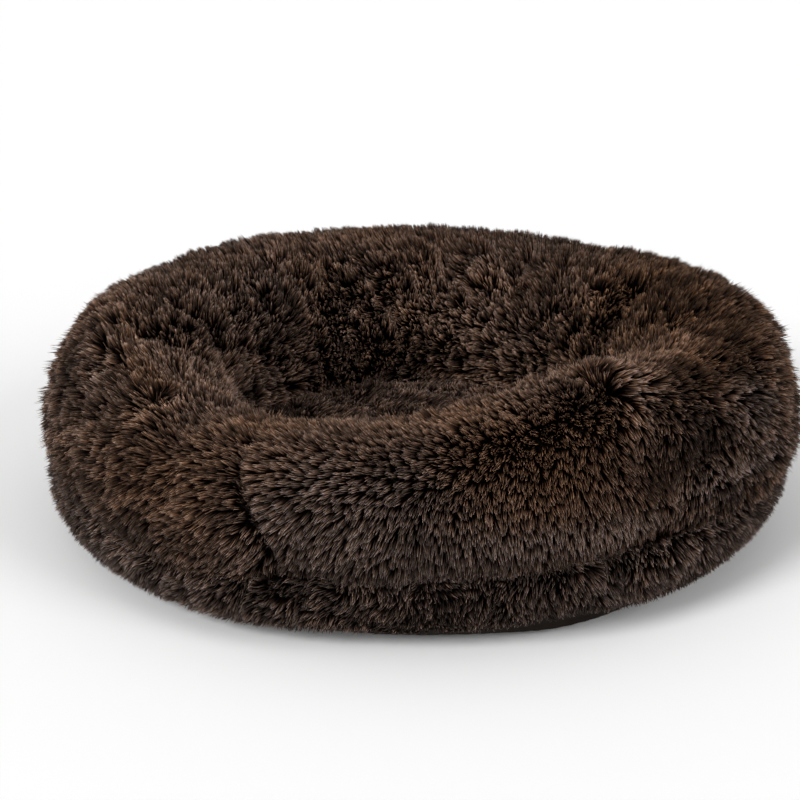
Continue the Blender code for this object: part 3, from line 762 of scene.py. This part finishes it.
def grown(surface, spacing, seed, style, side=0, least=None, reach=None):
    """Locks all over a surface, as arrays. style says how they lie at each place, side on which
    side of the zip they are, least is the least slope of their roots above level, and reach tells
    how far out a point lies."""
    turn, share = surface.scattered(spacing, seed)
    root, normal, down, ahead = surface.at(turn, share)
    if least is not None:
        normal[:, 2] = np.maximum(normal[:, 2], least)
        normal = unit(normal)
        down = unit(down - normal * (down * normal).sum(1, keepdims=True))
        ahead = unit(ahead - normal * (ahead * normal).sum(1, keepdims=True))
    number = np.arange(len(turn))
    key = draws(number, seed + 2)
    radius = np.hypot(root[:, 0], root[:, 1])
    mean_radius = float(radius.mean())
    fine = clumped(turn, share, surface.length, mean_radius, FINE_CLUMP, root, seed + 3)
    coarse = clumped(turn, share, surface.length, mean_radius, COARSE_CLUMP, root, seed + 5)
    said = style(turn, share, root, surface.length)
    each = np.ones(len(turn))
    said = {name: value * each if np.isscalar(value) else value for name, value in said.items()}

    # The way that they are combed.
    angle = said["angle"] + np.radians(16) * swing(fine, seed + 7)
    angle += np.radians(20) * swing(coarse, seed + 8) * said["unruly"]
    angle += np.radians(11) * swing(number, seed + 9) * (0.6 + said["unruly"])
    comb = down * np.cos(angle)[:, None] + ahead * np.sin(angle)[:, None]
    push = said.get("push")
    if push is not None:
        weight = np.clip(np.linalg.norm(push, axis=1), 0, 1)[:, None]
        comb = comb * (1 - weight) + down * push[:, :1] + ahead * push[:, 1:]
    comb = unit(comb)

    # How long they are, and how far they lean at the root and at the tip.
    long = said["length"] * (0.87 + 0.22 * draws(number, seed + 10))
    vary = 0.10 * (draws(fine, seed + 11) - 0.6) + 0.14 * (draws(coarse, seed + 12) - 0.5)
    long = long * (1 + vary * (0.5 + said["uneven"]))
    lift = np.radians(9) * swing(fine, seed + 13) + np.radians(6) * (key * 2 - 1)
    lift += np.radians(34) * said["tuft"] * swing(coarse, seed + 27)
    stray = (draws(number, seed + 29) > 0.93) * np.clip(said["uneven"] - 1, 0, 1)
    lift -= np.radians(30) * stray
    long = long * (1 + 0.30 * stray)
    lean_root = said["lean_root"] + lift
    lean_tip = said["lean_tip"] + lift
    mean_lean = (lean_root + lean_tip) / 2
    way = normal * np.cos(mean_lean)[:, None] + comb * np.sin(mean_lean)[:, None]
    if reach is not None:
        for _ in range(2):
            inner, outer = reach(root, turn), reach(root + way * long[:, None], turn)
            most = 0.86 + 0.12 * draws(number, seed + 25)
            room = (most - inner) / np.maximum(outer - inner, 1e-3)
            long = np.where(outer > most, long * np.clip(room, 0.25, 1), long)

    # Where their tips end, gathered in clumps.
    tip = root + way * long[:, None]
    tip += (gathered(tip, coarse) - tip) * said["tuft"][:, None]
    pull = said["clump"] * (0.55 + 0.45 * draws(number, seed + 14)) * (1 - 0.7 * stray)
    tip += (gathered(tip, fine) - tip) * pull[:, None]
    lowest, highest = beside_zip(turn, radius, draws(number, seed + 26), side)

    # How light they are.
    pale = draws(number, seed + 19)
    dark = np.clip(0.20 - 0.08 * said["uneven"], 0, 1)
    light = np.where(pale > 0.46, 0.52, dark) + 0.34 * (draws(number, seed + 15) - 0.5)
    patch = 0.28 * (draws(fine, seed + 16) - 0.5) + 0.16 * (draws(coarse, seed + 17) - 0.5)
    patch += 0.12 * noise(root, 0.050, seed + 18) + 0.08 * noise(root, 0.025, seed + 28)
    light += patch * said["uneven"]
    return {
        "turn": turn,
        "share": share,
        "root": root - normal * 0.001,
        "normal": normal,
        "comb": comb,
        "lean_root": lean_root,
        "lean_tip": lean_tip,
        "length": long,
        "width": said["width"] * (0.75 + 0.5 * draws(number, seed + 20)),
        "sway": 0.0035 * swing(number, seed + 21),
        "roll": 2 * np.pi * draws(number, seed + 22),
        "tip": tip,
        "lowest": lowest,
        "highest": highest,
        "hue": np.clip(said["hue"] + 0.30 * (draws(number, seed + 24) - 0.5), 0, 1),
        "light": np.clip(light + said["light"] + 0.35 * (pale > 0.92), 0, 1),
    }


def kept(locks, keep):
    return {name: values[keep] for name, values in locks.items()}


# How the pile lies on each part of the cover.

# Directions are degrees from straight down the outside, towards growing turns. Each table gives
# them every 30 degrees round the bed, from the front: on the crest, on the shoulder and the wall
# outside it, and on the inner wall.
CREST_COMB = (-68, -50, 26, 4, -8, 30, 45, 30, 0, -10, -15, -62)
SHOULDER_COMB = (-46, -28, -24, 0, -8, 10, 20, 10, 0, -8, -14, -52)
WALL_COMB = (-16, -12, -14, -4, 0, 4, 8, 4, 0, -4, -10, -36)
INNER_COMB = (-40, -25, 14, -8, -30, 40, 62, 50, 20, 10, 0, -20)

# Stretches of the rim that differ from the rest: turn and share of the way, reach in degrees and
# in shares, and how much lighter and warmer they are. Some are the pile's tone, and some paint
# light:
# painted sheen, a painted highlight along the right crest, and painted shade in hollows and on
# the right's inner slope.
TONE_PATCHES_AND_PAINTED_LIGHT = (
    # Painted sheen: a paler, cooler patch low on the front.
    (-9, 0.20, 15, 0.13, 0.10, -0.62),
    (16, 0.260, 13, 0.120, 0.02, 0.40),
    (18, 0.150, 12, 0.050, 0.20, 0.05),
    (26, 0.000, 12, 0.030, 0.15, 0.00),
    # Painted shade in two dark hollows just below the right crest.
    (60, 0.360, 7, 0.030, -0.24, 0.10),
    (72, 0.425, 7, 0.030, -0.22, 0.10),
    (27, 0.320, 8, 0.030, 0.18, 0.05),
    # Painted sheen: paler, cooler stretches above the lower seam, and on the right's ridge and
    # flank.
    (28, 0.072, 8, 0.030, 0.50, -0.85),
    (14, 0.080, 9, 0.030, 0.16, -0.60),
    (49, 0.110, 7, 0.028, 0.45, -0.75),
    (60, 0.120, 8, 0.035, 0.30, -0.60),
    (59, 0.250, 7, 0.080, 0.32, -0.75),
    # Painted shade in hollows on the right.
    (43, 0.215, 8, 0.036, -0.38, 0.00),
    (36, 0.155, 5, 0.032, -0.30, 0.05),
    (49, 0.370, 11, 0.060, -0.42, 0.25),
    (67, 0.340, 8, 0.050, -0.20, 0.15),
    # Painted highlight along the right crest.
    (52, 0.462, 15, 0.028, 0.34, -0.15),
    # Painted shade in a hollow by the right crest, and on the right's inner slope, which is also
    # warmer in tone.
    (78, 0.490, 7, 0.035, -0.20, 0.10),
    (99, 0.570, 17, 0.090, -0.55, 0.20),
    (93, 0.530, 8, 0.025, 0.20, 0.10),
    (-62, 0.270, 24, 0.090, -0.26, 0.05),
    (88, 0.480, 9, 0.050, -0.18, 0.15),
    (-56, 0.110, 20, 0.060, -0.10, 0.00),
    (-45, 0.030, 28, 0.060, -0.16, -0.15),
    (2, 0.060, 26, 0.060, 0.00, -0.40),
    (75, 0.300, 30, 0.200, -0.09, 0.10),
    (-62, 0.450, 9, 0.050, 0.06, 0.40),
    (-84, 0.440, 12, 0.050, 0.06, 0.05),
    (-20, 0.450, 18, 0.060, 0.10, 0.10),
)


def tone_and_painted_light(turn, share):
    """How much lighter and warmer each place is, by tone and by painted sheen, highlight and shade.
    """
    both = np.zeros((2, len(turn)))
    for degrees, level, wide, tall, lighter, warmer in TONE_PATCHES_AND_PAINTED_LIGHT:
        near = bump(apart(turn, degrees), math.radians(wide)) * bump(share - level, tall)
        both += np.array([[lighter], [warmer]]) * near
    return both


def hue_at(root):
    """From cool at 0 to warm at 1, in broad patches."""
    return 0.52 + 0.22 * noise(root, 0.16, 31) + 0.14 * noise(root, 0.05, 32)


def rim_style(turn, share, root, length):
    """share runs from the outer seam at 0 over the crest near 0.45 to the inner seam at 1."""
    levels = np.array([0.0, 0.10, 0.30, 0.46, 0.62, 1.0])
    tables = (WALL_COMB, WALL_COMB, SHOULDER_COMB, CREST_COMB, INNER_COMB, INNER_COMB)
    rows = np.stack([np.radians(round_the_bed(table, turn)) for table in tables])
    slot = np.clip(np.searchsorted(levels, share, side="right") - 1, 0, len(levels) - 2)
    part = (share - levels[slot]) / (levels[slot + 1] - levels[slot])
    part = part * part * (3 - 2 * part)
    here = np.arange(len(turn))
    angle = rows[slot, here] * (1 - part) + rows[slot + 1, here] * part

    # Parts of the rim, each from 0 to 1: messy is ruffled pile, calm the even front, flat the pile
    # that lies close beside the front right seam, and lying the pile that lies on the right crest.
    inner = risen(share, 0.46, 0.12)
    crest = bump(share - 0.45, 0.13)
    left = left_side(turn, share)
    flank = 0.8 * bump(apart(turn, 68), 0.42) + 0.8 * bump(apart(turn, -75), 0.50)
    flank = flank * risen(share, 0.42, -0.10)
    messy = np.maximum(np.maximum(inner, left), flank)
    lighter, warmer = tone_and_painted_light(turn, share)
    calm = broad(turn, 20, 0.36, 1.3) * risen(share, 0.38, -0.10)
    angle += np.radians(16) * calm * risen(apart(turn, 18), 0.0, -0.3)
    flat = bump(apart(turn, 43), 0.24) * risen(share, 0.36, -0.12)
    lying = bump(apart(turn, 88), 0.60) * risen(share, 0.34, 0.10)
    angle -= np.radians(24) * flat
    angle += np.radians(26) * noise(root, 0.060, 41) * (0.6 + 1.2 * messy - 0.4 * calm)
    angle += np.radians(20) * noise(root, 0.022, 42) * (0.4 + 1.6 * messy - 0.2 * calm)

    # The push of the whorls. The pinched seam end's goes to one side, and is turned a little.
    push = np.zeros((len(turn), 2))
    for degrees, level, wide, strength in WHORLS:
        across, along = beside(turn, share, length, degrees, level)
        far = np.maximum(np.hypot(across, along), 1e-4)
        force = strength * bump(far, wide)
        turned = 0.0
        if (degrees, level) == PINCH:
            force = force * risen(across, -0.012, 0.018)
            turned = math.radians(32)
        upwards = along * math.cos(turned) - across * math.sin(turned)
        sideways = across * math.cos(turned) + along * math.sin(turned)
        push += np.stack([-upwards, sideways], 1) * (force / far)[:, None]

    # The long bright fan beyond the pinched end, what lies in shade, and the edges of the panels.
    seam, drawn = beside_seams(turn, share)
    across, along = beside(turn, share, length, *PINCH)
    reach = np.hypot(across, along)
    beyond = risen(across, -0.008, 0.016)
    pivot = bump(reach, 0.010)
    long = bump(reach, 0.046) * beyond * (1 - 0.7 * pivot)
    bright = bump(across - 0.020, 0.026) * bump(along + 0.008, 0.028) * beyond
    shaded = bump(across + 0.045, 0.034) * bump(along - 0.012, 0.020)
    shaded += 14 * hollow(turn, share, length)
    # Painted shade in the creases along the seams between panels, where the locks are also shorter.
    deep = bump(seam, 0.009) * drawn / 0.013 * risen(share, 0.42, -0.15)
    low = np.clip(1 - share * length / 0.030, 0, 1)
    return {
        "angle": angle,
        "unruly": 0.5 + 1.5 * messy + 0.5 * bump(seam, 0.02) - 0.3 * calm,
        "push": push,
        "length": 0.0235 + 0.003 * messy + 0.002 * right_side(turn) + 0.020 * long - 0.009 * deep
        - 0.004 * low - 0.005 * flat - 0.002 * lying,
        "lean_root": np.radians(10 - 2 * crest + 2 * low + 14 * flat + 20 * lying - 8 * pivot),
        "lean_tip": np.radians(
            52 + 4 * crest - 4 * inner + 5 * low + 20 * long - 10 * calm + 16 * flat + 20 * lying
            - 58 * pivot
        ),
        "width": 0.0018 + 0.0004 * left - 0.0002 * calm + 0.0014 * long,
        "clump": 0.57 + 0.16 * messy - 0.15 * calm + 0.24 * long,
        "tuft": 0.08 + 0.30 * messy - 0.06 * calm + 0.16 * lying + 0.12 * left,
        "hue": hue_at(root) + warmer - 0.35 * bright + 0.30 * lying,
        "light": lighter + 0.04 * (crest + calm) + 0.66 * bright - 0.16 * shaded - 0.22 * deep,
        "uneven": 1 + 0.9 * messy + 1.2 * lying + 1.6 * bright + 0.8 * flank - 0.5 * calm,
    }


def band_style(turn, share, root, length):
    angle = np.radians(round_the_bed(WALL_COMB, turn)) + np.radians(50) * noise(root, 0.045, 43)
    angle += np.radians(75) * noise(root, 0.018, 44)
    near = np.clip(1 - (1 - share) * length / 0.016, 0, 1)
    crevice = band_crevice(turn, share)
    return {
        "angle": angle,
        "unruly": 1.4,
        "length": 0.0235 - 0.006 * near - 0.008 * crevice,
        "uneven": 1.8,
        "lean_root": np.radians(8.0),
        "lean_tip": np.radians(48.0 + 14.0 * noise(root, 0.020, 47)),
        "width": 0.0018,
        "clump": 0.62,
        "tuft": 0.15,
        "hue": hue_at(root) - 0.46,
        # Painted shade: the pile is darker just under the lower seam and in the crevice.
        "light": 0.11 * bump(apart(turn, 30), 0.30) - 0.05 - 0.12 * near - 0.30 * crevice,
    }


def centre_style(turn, share, root, length):
    """The middle's pile lies towards the front, with broad swirls, and outwards at its edge."""
    angle = np.radians(100) * noise(root, 0.130, 45) + np.radians(70) * noise(root, 0.030, 46)
    edge = np.clip(1.2 - share * length / 0.030, 0, 1)
    angle -= apart(turn, 0) * (1 - edge)
    return {
        "angle": angle,
        "unruly": 1.5,
        "length": 0.0240,
        "uneven": 1.5,
        "lean_root": np.radians(22 - 14 * edge),
        "lean_tip": np.radians(72 - 40 * edge),
        "width": 0.0018,
        "clump": 0.55,
        "tuft": 0.22,
        "hue": hue_at(root) - 0.05,
        "light": -0.02,
    }


def within(turn, panel):
    start, end = (math.radians(degrees) for degrees in PANELS[panel])
    return (turn - start) % (2 * np.pi) < end - start


def fur_pieces(part, locks, panel, look):
    """The locks of one panel, in pieces that stay small enough to export whole."""
    node = f"{part}_{panel}" if panel else part
    start = math.radians(PANELS[panel][0]) if panel else 0.0
    order = np.argsort((locks["turn"] - start) % (2 * np.pi), kind="stable")
    groups = np.array_split(order, max(1, math.ceil(len(order) / MOST_LOCKS)))
    for count, group in enumerate(groups, 1):
        points, corners, sizes, uv = lock_mesh(kept(locks, group))
        stands_for(add_mesh(f"{node}_pile_{count}", points, corners, sizes, look, uv), node)


def backing(node, surface, look, turns, steps, share=(0.0, 1.0)):
    """The cloth that carries the pile: a closed sheet with a little thickness."""
    start, end = (math.radians(degrees) for degrees in turns)
    whole = end - start > 2 * np.pi - 1e-6
    columns = max(8, round((end - start) / (2 * np.pi) * Surface.TURNS))
    around = start + (end - start) * np.arange(columns + (not whole)) / columns
    along = np.linspace(share[0], share[1], steps)
    turn, level = (part.ravel() for part in np.meshgrid(around, along, indexing="ij"))
    points, normal, _, _ = surface.at(turn, level)
    outer, inner = (
        part.reshape(-1, steps, 3) for part in (points, points - normal * BACKING_THICKNESS)
    )
    rings = np.concatenate([outer, inner[:, ::-1]], axis=1).swapaxes(0, 1)
    made = skinned(f"{node}_backing", rings, look, joined=whole, strips=True)
    stands_for(made, node)


def build_cover():
    """Backings and locks."""
    fur, cloth = fur_look(), backing_look()
    thin = 1.0
    rim = Surface(rim_section, PILE_DEPTH - BACKING_OUT, 160, rim_relief)
    band = Surface(band_section, PILE_DEPTH - BACKING_OUT, 60, band_relief)
    centre = Surface(centre_section, CENTRE_PILE - BACKING_OUT, 60, centre_relief)
    pile = grown(rim, RIM_SPACING * thin, 100, rim_style, side=1)
    guides = {"side": -1, "least": -0.30, "reach": band_reach}
    low_pile = grown(band, BAND_SPACING * thin, 200, band_style, **guides)
    mid_pile = grown(centre, CENTRE_SPACING * thin, 300, centre_style)
    for locks in (pile, low_pile, mid_pile):
        locks["width"] = locks["width"] * thin**0.5
    for panel, (start, end) in PANELS.items():
        for part, surface, locks, steps, seam in (
            ("rim_cover", rim, pile, 64, 0.0),
            ("lower_band", band, low_pile, 20, 1.0),
        ):
            mine = within(locks["turn"], panel)
            if panel == "back":
                away = np.abs(locks["share"] - seam) * surface.length
                mine &= away > GROOVE_HALF_HEIGHT + BACKING_OUT
            fur_pieces(part, kept(locks, mine), panel, fur)
            gap = GROOVE_HALF_HEIGHT / surface.length if panel == "back" else 0.0
            share = (gap, 1.0) if part == "rim_cover" else (0.0, 1.0 - gap)
            backing(f"{part}_{panel}", surface, cloth, (start, end), steps, share)
    fur_pieces("centre_panel", mid_pile, None, fur)
    backing("centre_panel", centre, cloth, (0, 360), 40)


# The insert, the base cloth and the zip.


def lining_look():
    tones = (0.60, 0.58, 0.55), (0.74, 0.72, 0.69)
    return mottled("insert_lining", 0.75, (220.0, 5.0, 0.7), *tones, 0.0006)[0].made


def fibre_look():
    tones = (0.74, 0.74, 0.73), (0.86, 0.86, 0.85)
    return mottled("insert_fibre", 0.9, (120.0, 6.0, 0.75), *tones, 0.002)[0].made


def insert_rings(inset, wrinkle, seed):
    """The rim's insert, a loop in section that follows the cover at a depth, a little creased."""
    rim = Surface(rim_section, inset, 60, rim_relief)
    band = Surface(band_section, inset, 16, band_relief)
    pick = slice(0, Surface.TURNS, 2)
    outside = np.concatenate([band.points[pick, :-1], rim.points[pick]], axis=1)
    turns = np.arange(0, Surface.TURNS, 2) / Surface.TURNS * 2 * np.pi
    floor = COVER_FLOOR + inset - PILE_DEPTH
    radii = [CUSHION_RADIUS + 0.004, CUSHION_RADIUS + 0.012, 0.30, 0.33, TURN_IN_RADIUS]
    heights = [floor + 0.012, floor, floor, floor, floor]
    under = [placed(radius, turns, height) for radius, height in zip(radii, heights)]
    rings = np.concatenate([outside, np.stack(under, 1)], axis=1)
    middle = rings.mean(1, keepdims=True)
    inward = unit(middle - rings)
    depth = wrinkle * (1 + noise(rings.reshape(-1, 3), 0.05, seed).reshape(rings.shape[:2]))
    return rings + inward * depth[..., None]


def cushion_rings(inset):
    """The middle cushion, with creases in its top."""
    turns = np.arange(0, Surface.TURNS, 4) / Surface.TURNS * 2 * np.pi
    radii = np.append(np.linspace(0.004, CUSHION_RADIUS - 0.014, 24), CUSHION_RADIUS - 0.007)
    top = [(radius, float(cushion_top(radius)) - inset) for radius in radii]
    edge = CUSHION_RADIUS - inset - CLEARANCE
    floor = COVER_FLOOR + inset
    side = [(edge, 0.042), (edge, floor + 0.012), (edge - 0.012, floor), (0.1, floor)]
    loop = top + side + [(0.004, floor)]
    rings = np.stack([placed(radius, turns, height) for radius, height in loop], 1)
    crease = 0.0012 * (noise(rings.reshape(-1, 3), 0.06, 61).reshape(rings.shape[:2]) - 1)
    rings[:, 1 : len(radii), 2] += crease[:, 1 : len(radii)]
    return rings


def build_insert():
    lining, fibre = lining_look(), fibre_look()
    under = PILE_DEPTH + LINING_UNDER
    liner = skinned("bolster_lining", insert_rings(under, 0.0003, 51), lining, joined=True)
    stands_for(liner, "bolster_liner")
    filled = insert_rings(under + FIBRE_UNDER, 0.0006, 52)
    fill = skinned("bolster_fibre", filled, fibre, joined=True)
    stands_for(fill, "bolster_fill")
    liner = skinned("cushion_lining", cushion_rings(0.0), lining)
    stands_for(liner, "cushion_liner")
    fill = skinned("cushion_fibre", cushion_rings(CUSHION_FIBRE_UNDER), fibre)
    stands_for(fill, "cushion_fill")


def cloth_look():
    """A matt weave, with small grip dots on the flat underside."""
    thread, dots_apart = 0.0012, 0.011
    look = Look("base_weave", 0.8, Specular_IOR_Level=0.04)
    where = look.node("ShaderNodeTexCoord").outputs["Object"]
    split = look.node("ShaderNodeSeparateXYZ", {0: where})
    threads = []
    for axis in (0, 1):
        across = look.math("MULTIPLY", split.outputs[axis], 2 * math.pi / thread)
        threads.append(look.math("ABSOLUTE", look.math("SINE", across)))
    weave = look.math("MAXIMUM", threads[0], threads[1])
    cells = []
    for axis in (0, 1):
        place = look.math("FRACT", look.math("MULTIPLY", split.outputs[axis], 1 / dots_apart))
        place = look.math("SUBTRACT", place, 0.5)
        cells.append(look.math("MULTIPLY", place, place))
    dot = look.math("LESS_THAN", look.math("ADD", cells[0], cells[1]), 0.030)
    flat = look.math("LESS_THAN", split.outputs[2], 0.0010)
    dot = look.math("MULTIPLY", dot, flat)
    tone = look.noise(30.0, 4.0)
    plain = look.ramp(tone, [(0.3, (0.006, 0.004, 0.003)), (0.7, (0.012, 0.008, 0.006))])
    plain = look.mix(look.math("MULTIPLY", weave, 0.5), plain, (0.018, 0.013, 0.010, 1))
    look.colour(look.mix(dot, plain, (0.006, 0.005, 0.005, 1)))
    look.bumped(look.math("ADD", weave, look.math("MULTIPLY", dot, 2.0)), 0.00012, 0.6)
    return look.made


def build_base_cloth():
    """A disc of woven cloth under the bed, drawn up at its edge to the cover."""
    columns = 576
    turns = np.arange(columns) / columns * 2 * np.pi
    rings = []
    for outer in (True, False):
        rows = []
        for turn in turns:
            top = float(seam_height(turn)) - UPRIGHT
            wall = BACKING_RADIUS + CLOTH_THICKNESS if outer else BACKING_RADIUS
            bottom = 0.0 if outer else CLOTH_THICKNESS
            half = (wall - TURN_IN_RADIUS, top - bottom)
            rise = -math.degrees(math.asin((top - cloth_rise(turn) - CLOTH_TUCK) / top))
            inside = [(radius, bottom) for radius in (0.004, 0.1, 0.2, 0.28, 0.33)]
            outside = [
                superellipse((TURN_IN_RADIUS, top), *half, degrees, CORNER_POWER)
                for degrees in np.linspace(-90, rise, 18)
            ]
            rows.append(inside + outside)
        rows = np.array(rows)
        # It bulges at the front right, and is puckered where it turns up.
        bulge = bump(apart(turns, 24), 0.20)[:, None] * bump(rows[..., 1] - 0.006, 0.010)
        rows[..., 0] += 0.012 * bulge * risen(rows[..., 0], 0.34, 0.03)
        pucker = 0.0005 * np.sin(turns * 150 + 1.5 * np.sin(turns * 23))
        pucker += 0.0005 * np.sin(turns * 41 + 2.0 * np.sin(turns * 9))
        strength = risen(rows[..., 0], 0.375, 0.03)
        rows[..., 0] += pucker[:, None] * strength - 0.0009 * strength
        rings.append(rows if outer else rows[:, ::-1])
    both = np.concatenate(rings, axis=1)
    cloth = skinned("base_cloth_weave", spread(both, turns), cloth_look())
    stands_for(cloth, "base_cloth")


def tape_look():
    look = Look("zip_tape_weave", 0.7)
    where = look.node("ShaderNodeUVMap", uv_map="OFBake").outputs[0]
    split = look.node("ShaderNodeSeparateXYZ", {0: where})
    along = look.math("MULTIPLY", split.outputs[0], 2 * math.pi * 520)
    across = look.math("MULTIPLY", split.outputs[1], 2 * math.pi * 11)
    ribs = look.math("SINE", look.math("ADD", along, look.math("SINE", across)))
    ribs = look.math("ADD", look.math("MULTIPLY", ribs, 0.5), 0.5)
    look.colour(look.mix(ribs, (0.010, 0.007, 0.006, 1), (0.034, 0.024, 0.019, 1)))
    look.bumped(ribs, 0.0002, 0.7)
    return look.made


def tape(name, side, look):
    """One side of the zip's tape: a strip with one section all the way."""
    heights = SEAM_HEIGHT + side * np.linspace(CHAIN_GAP / 2, TAPE_REACH, 6)
    height = np.append(heights, heights[::-1])
    radius = np.repeat([TAPE_INNER, TAPE_OUTER], 6)
    along = np.linspace(0, 1, 241)
    turns = np.radians(ZIP_FROM + (ZIP_TO - ZIP_FROM) * along)
    rings = placed(radius[:, None], turns, height[:, None])
    up = (height - height.min()) / np.ptp(height)
    uv = np.stack(np.broadcast_arrays(0.01 + 0.98 * along, 0.03 + 0.94 * up[:, None]), -1)
    return skinned(name, rings, look, strips=True, uv=uv, smooth=False)


def coil_row(name, side, look):
    """One row of the zip: a flattened helix of round wire."""
    wire, pitch = 0.00034, 0.0016
    steps, sides = 10, 5
    centre = (COIL_INNER + COIL_OUTER) / 2
    turns = round(math.radians(CHAIN_TO - CHAIN_FROM) * centre / pitch)
    count = turns * steps + 1
    along = np.linspace(math.radians(CHAIN_FROM), math.radians(CHAIN_TO), count)
    phase = 2 * np.pi * np.arange(count) / steps
    deep = (COIL_OUTER - COIL_INNER) / 2 - wire
    tall = (COIL_WIDTH + 0.0003) / 2 - wire
    radius = centre + deep * np.cos(phase)
    height = SEAM_HEIGHT + side * (CHAIN_GAP + COIL_WIDTH - 0.0003) / 2 + tall * np.sin(phase)
    line = placed(radius, along, height)
    ahead = unit(np.gradient(line, axis=0))
    flat = placed(1.0, along, 0.0)
    up = np.tile([0.0, 0.0, 1.0], (count, 1))
    out = unit(flat * np.cos(phase)[:, None] + up * np.sin(phase)[:, None])
    out = unit(out - ahead * (out * ahead).sum(1, keepdims=True))
    sideways = np.cross(ahead, out)
    rings = []
    for slot in range(sides):
        turn = 2 * np.pi * slot / sides
        rings.append(line + wire * (out * math.cos(turn) + sideways * math.sin(turn)))
    return skinned(name, np.stack(rings), look)


def coil_look():
    tones = (0.012, 0.009, 0.007), (0.026, 0.019, 0.015)
    return mottled("zip_nylon", 0.35, (400.0, 2.0), *tones)[0].made


def metal_look():
    """Satin dark nickel, a little uneven in gloss and with finely scratched faces."""
    tones = (0.17, 0.155, 0.14), (0.25, 0.23, 0.21)
    grain = (700.0, 4.0, 0.6)
    look, tone = mottled("zip_nickel", 0.3, grain, *tones, 0.00003, 0.5, Metallic=1.0)
    look.rough(look.ramp(tone, [(0.2, 0.24), (0.8, 0.42)]))
    return look.made


def rounded_copy(node, width, look, body):
    """A copy of a small metal piece with its edges rounded."""
    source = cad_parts[node]
    mesh = source.data.copy()
    mesh.materials.clear()
    mesh.materials.append(look)
    made = linked(f"{node}_metal", mesh)
    made.matrix_world = source.matrix_world
    bevel = made.modifiers.new("edges", "BEVEL")
    bevel.width = width
    bevel.segments = 2
    bevel.limit_method = "ANGLE"
    bevel.angle_limit = math.radians(35)
    bevel.harden_normals = False
    stands_for(made, node, body)


def build_zip():
    weave, nylon, metal = tape_look(), coil_look(), metal_look()
    for name, side in (("upper", 1), ("lower", -1)):
        strip = tape(f"zip_tape_{name}_weave", side, weave)
        stands_for(strip, f"zip_tape_{name}")
        stands_for(coil_row(f"zip_coil_{name}_turns", side, nylon), f"zip_coil_{name}")
        rounded_copy(f"zip_top_stop_{name}", 0.0003, metal, "bed")
    rounded_copy("zip_bottom_stop", 0.0003, metal, "bed")
    rounded_copy("zip_slider", 0.00018, metal, "slider")
    rounded_copy("zip_pull", 0.00022, metal, "pull")


# The floor, the lights and the camera.


def build_stage():
    lit = {"Emission_Color": (1, 1, 1, 1), "Emission_Strength": 0.03}
    look = Look("floor_paper", 0.7, Specular_IOR_Level=0.2, **lit)
    grain = look.noise(60.0, 4.0)
    look.colour(look.ramp(grain, [(0.0, (0.965, 0.965, 0.965)), (1.0, (0.985, 0.985, 0.985))]))
    size = 14.0
    points = np.array([(-size, -size, 0), (size, -size, 0), (size, size, 0), (-size, size, 0)])
    add_mesh("floor", points, np.arange(4), np.array([4]), look.made, smooth=False)
    world = bpy.data.worlds.new("studio")
    world.use_nodes = True
    tree = world.node_tree
    where = tree.nodes.new("ShaderNodeTexCoord").outputs["Generated"]
    split = tree.nodes.new("ShaderNodeSeparateXYZ")
    ramp = tree.nodes.new("ShaderNodeValToRGB")
    for element, place, level in zip(ramp.color_ramp.elements, (0.17, 0.36), (1.0, 0.37)):
        element.position = place
        element.color = (level, level, level, 1)
    tree.links.new(where, split.inputs[0])
    tree.links.new(split.outputs["Z"], ramp.inputs[0])
    tree.links.new(ramp.outputs[0], tree.nodes["Background"].inputs["Color"])
    bpy.context.scene.world = world
    for name, place, wide, strength in (
        ("key", (-2.0, -2.3, 2.2), 24, 2.08),
        ("fill", (2.4, -1.6, 1.8), 32, 0.95),
        ("top", (0.1, 0.3, 3.0), 70, 0.25),
    ):
        light = bpy.data.lights.new(name, "SUN")
        light.angle = math.radians(wide)
        light.energy = strength
        made = linked(name, light)
        made.location = place
        aim = Vector((0, 0, 0.1)) - Vector(place)
        made.rotation_euler = aim.to_track_quat("-Z", "Y").to_euler()
    bpy.context.scene.view_settings.view_transform = "Standard"


def build_camera():
    """The photograph's place: 2.5 m off and about 21 degrees up."""
    distance, lift, focal, picture, sensor = 2.5, math.radians(21.0), 2015.0, 800, 36.0
    across, down, roll = 19.0, 3.7, math.radians(0.38)
    aim = Vector((0, 0, 0.125))
    place = aim + distance * Vector((0, -math.cos(lift), math.sin(lift)))
    ahead = (aim - place).normalized()
    right = ahead.cross(Vector((0, 0, 1))).normalized()
    up = right.cross(ahead)
    ahead = (ahead * focal - right * across + up * down).normalized()
    right = ahead.cross(Vector((0, 0, 1))).normalized()
    up = right.cross(ahead)
    turned = Matrix((right, up, -ahead)).transposed().to_4x4()
    data = bpy.data.cameras.new("camera")
    data.sensor_width = sensor
    data.lens = focal / picture * sensor
    camera = linked("camera", data)
    camera.matrix_world = Matrix.Translation(place) @ turned @ Matrix.Rotation(roll, 4, "Z")
    bpy.context.scene.camera = camera


build_camera()
build_stage()
build_cover()
build_insert()
build_base_cloth()
build_zip()
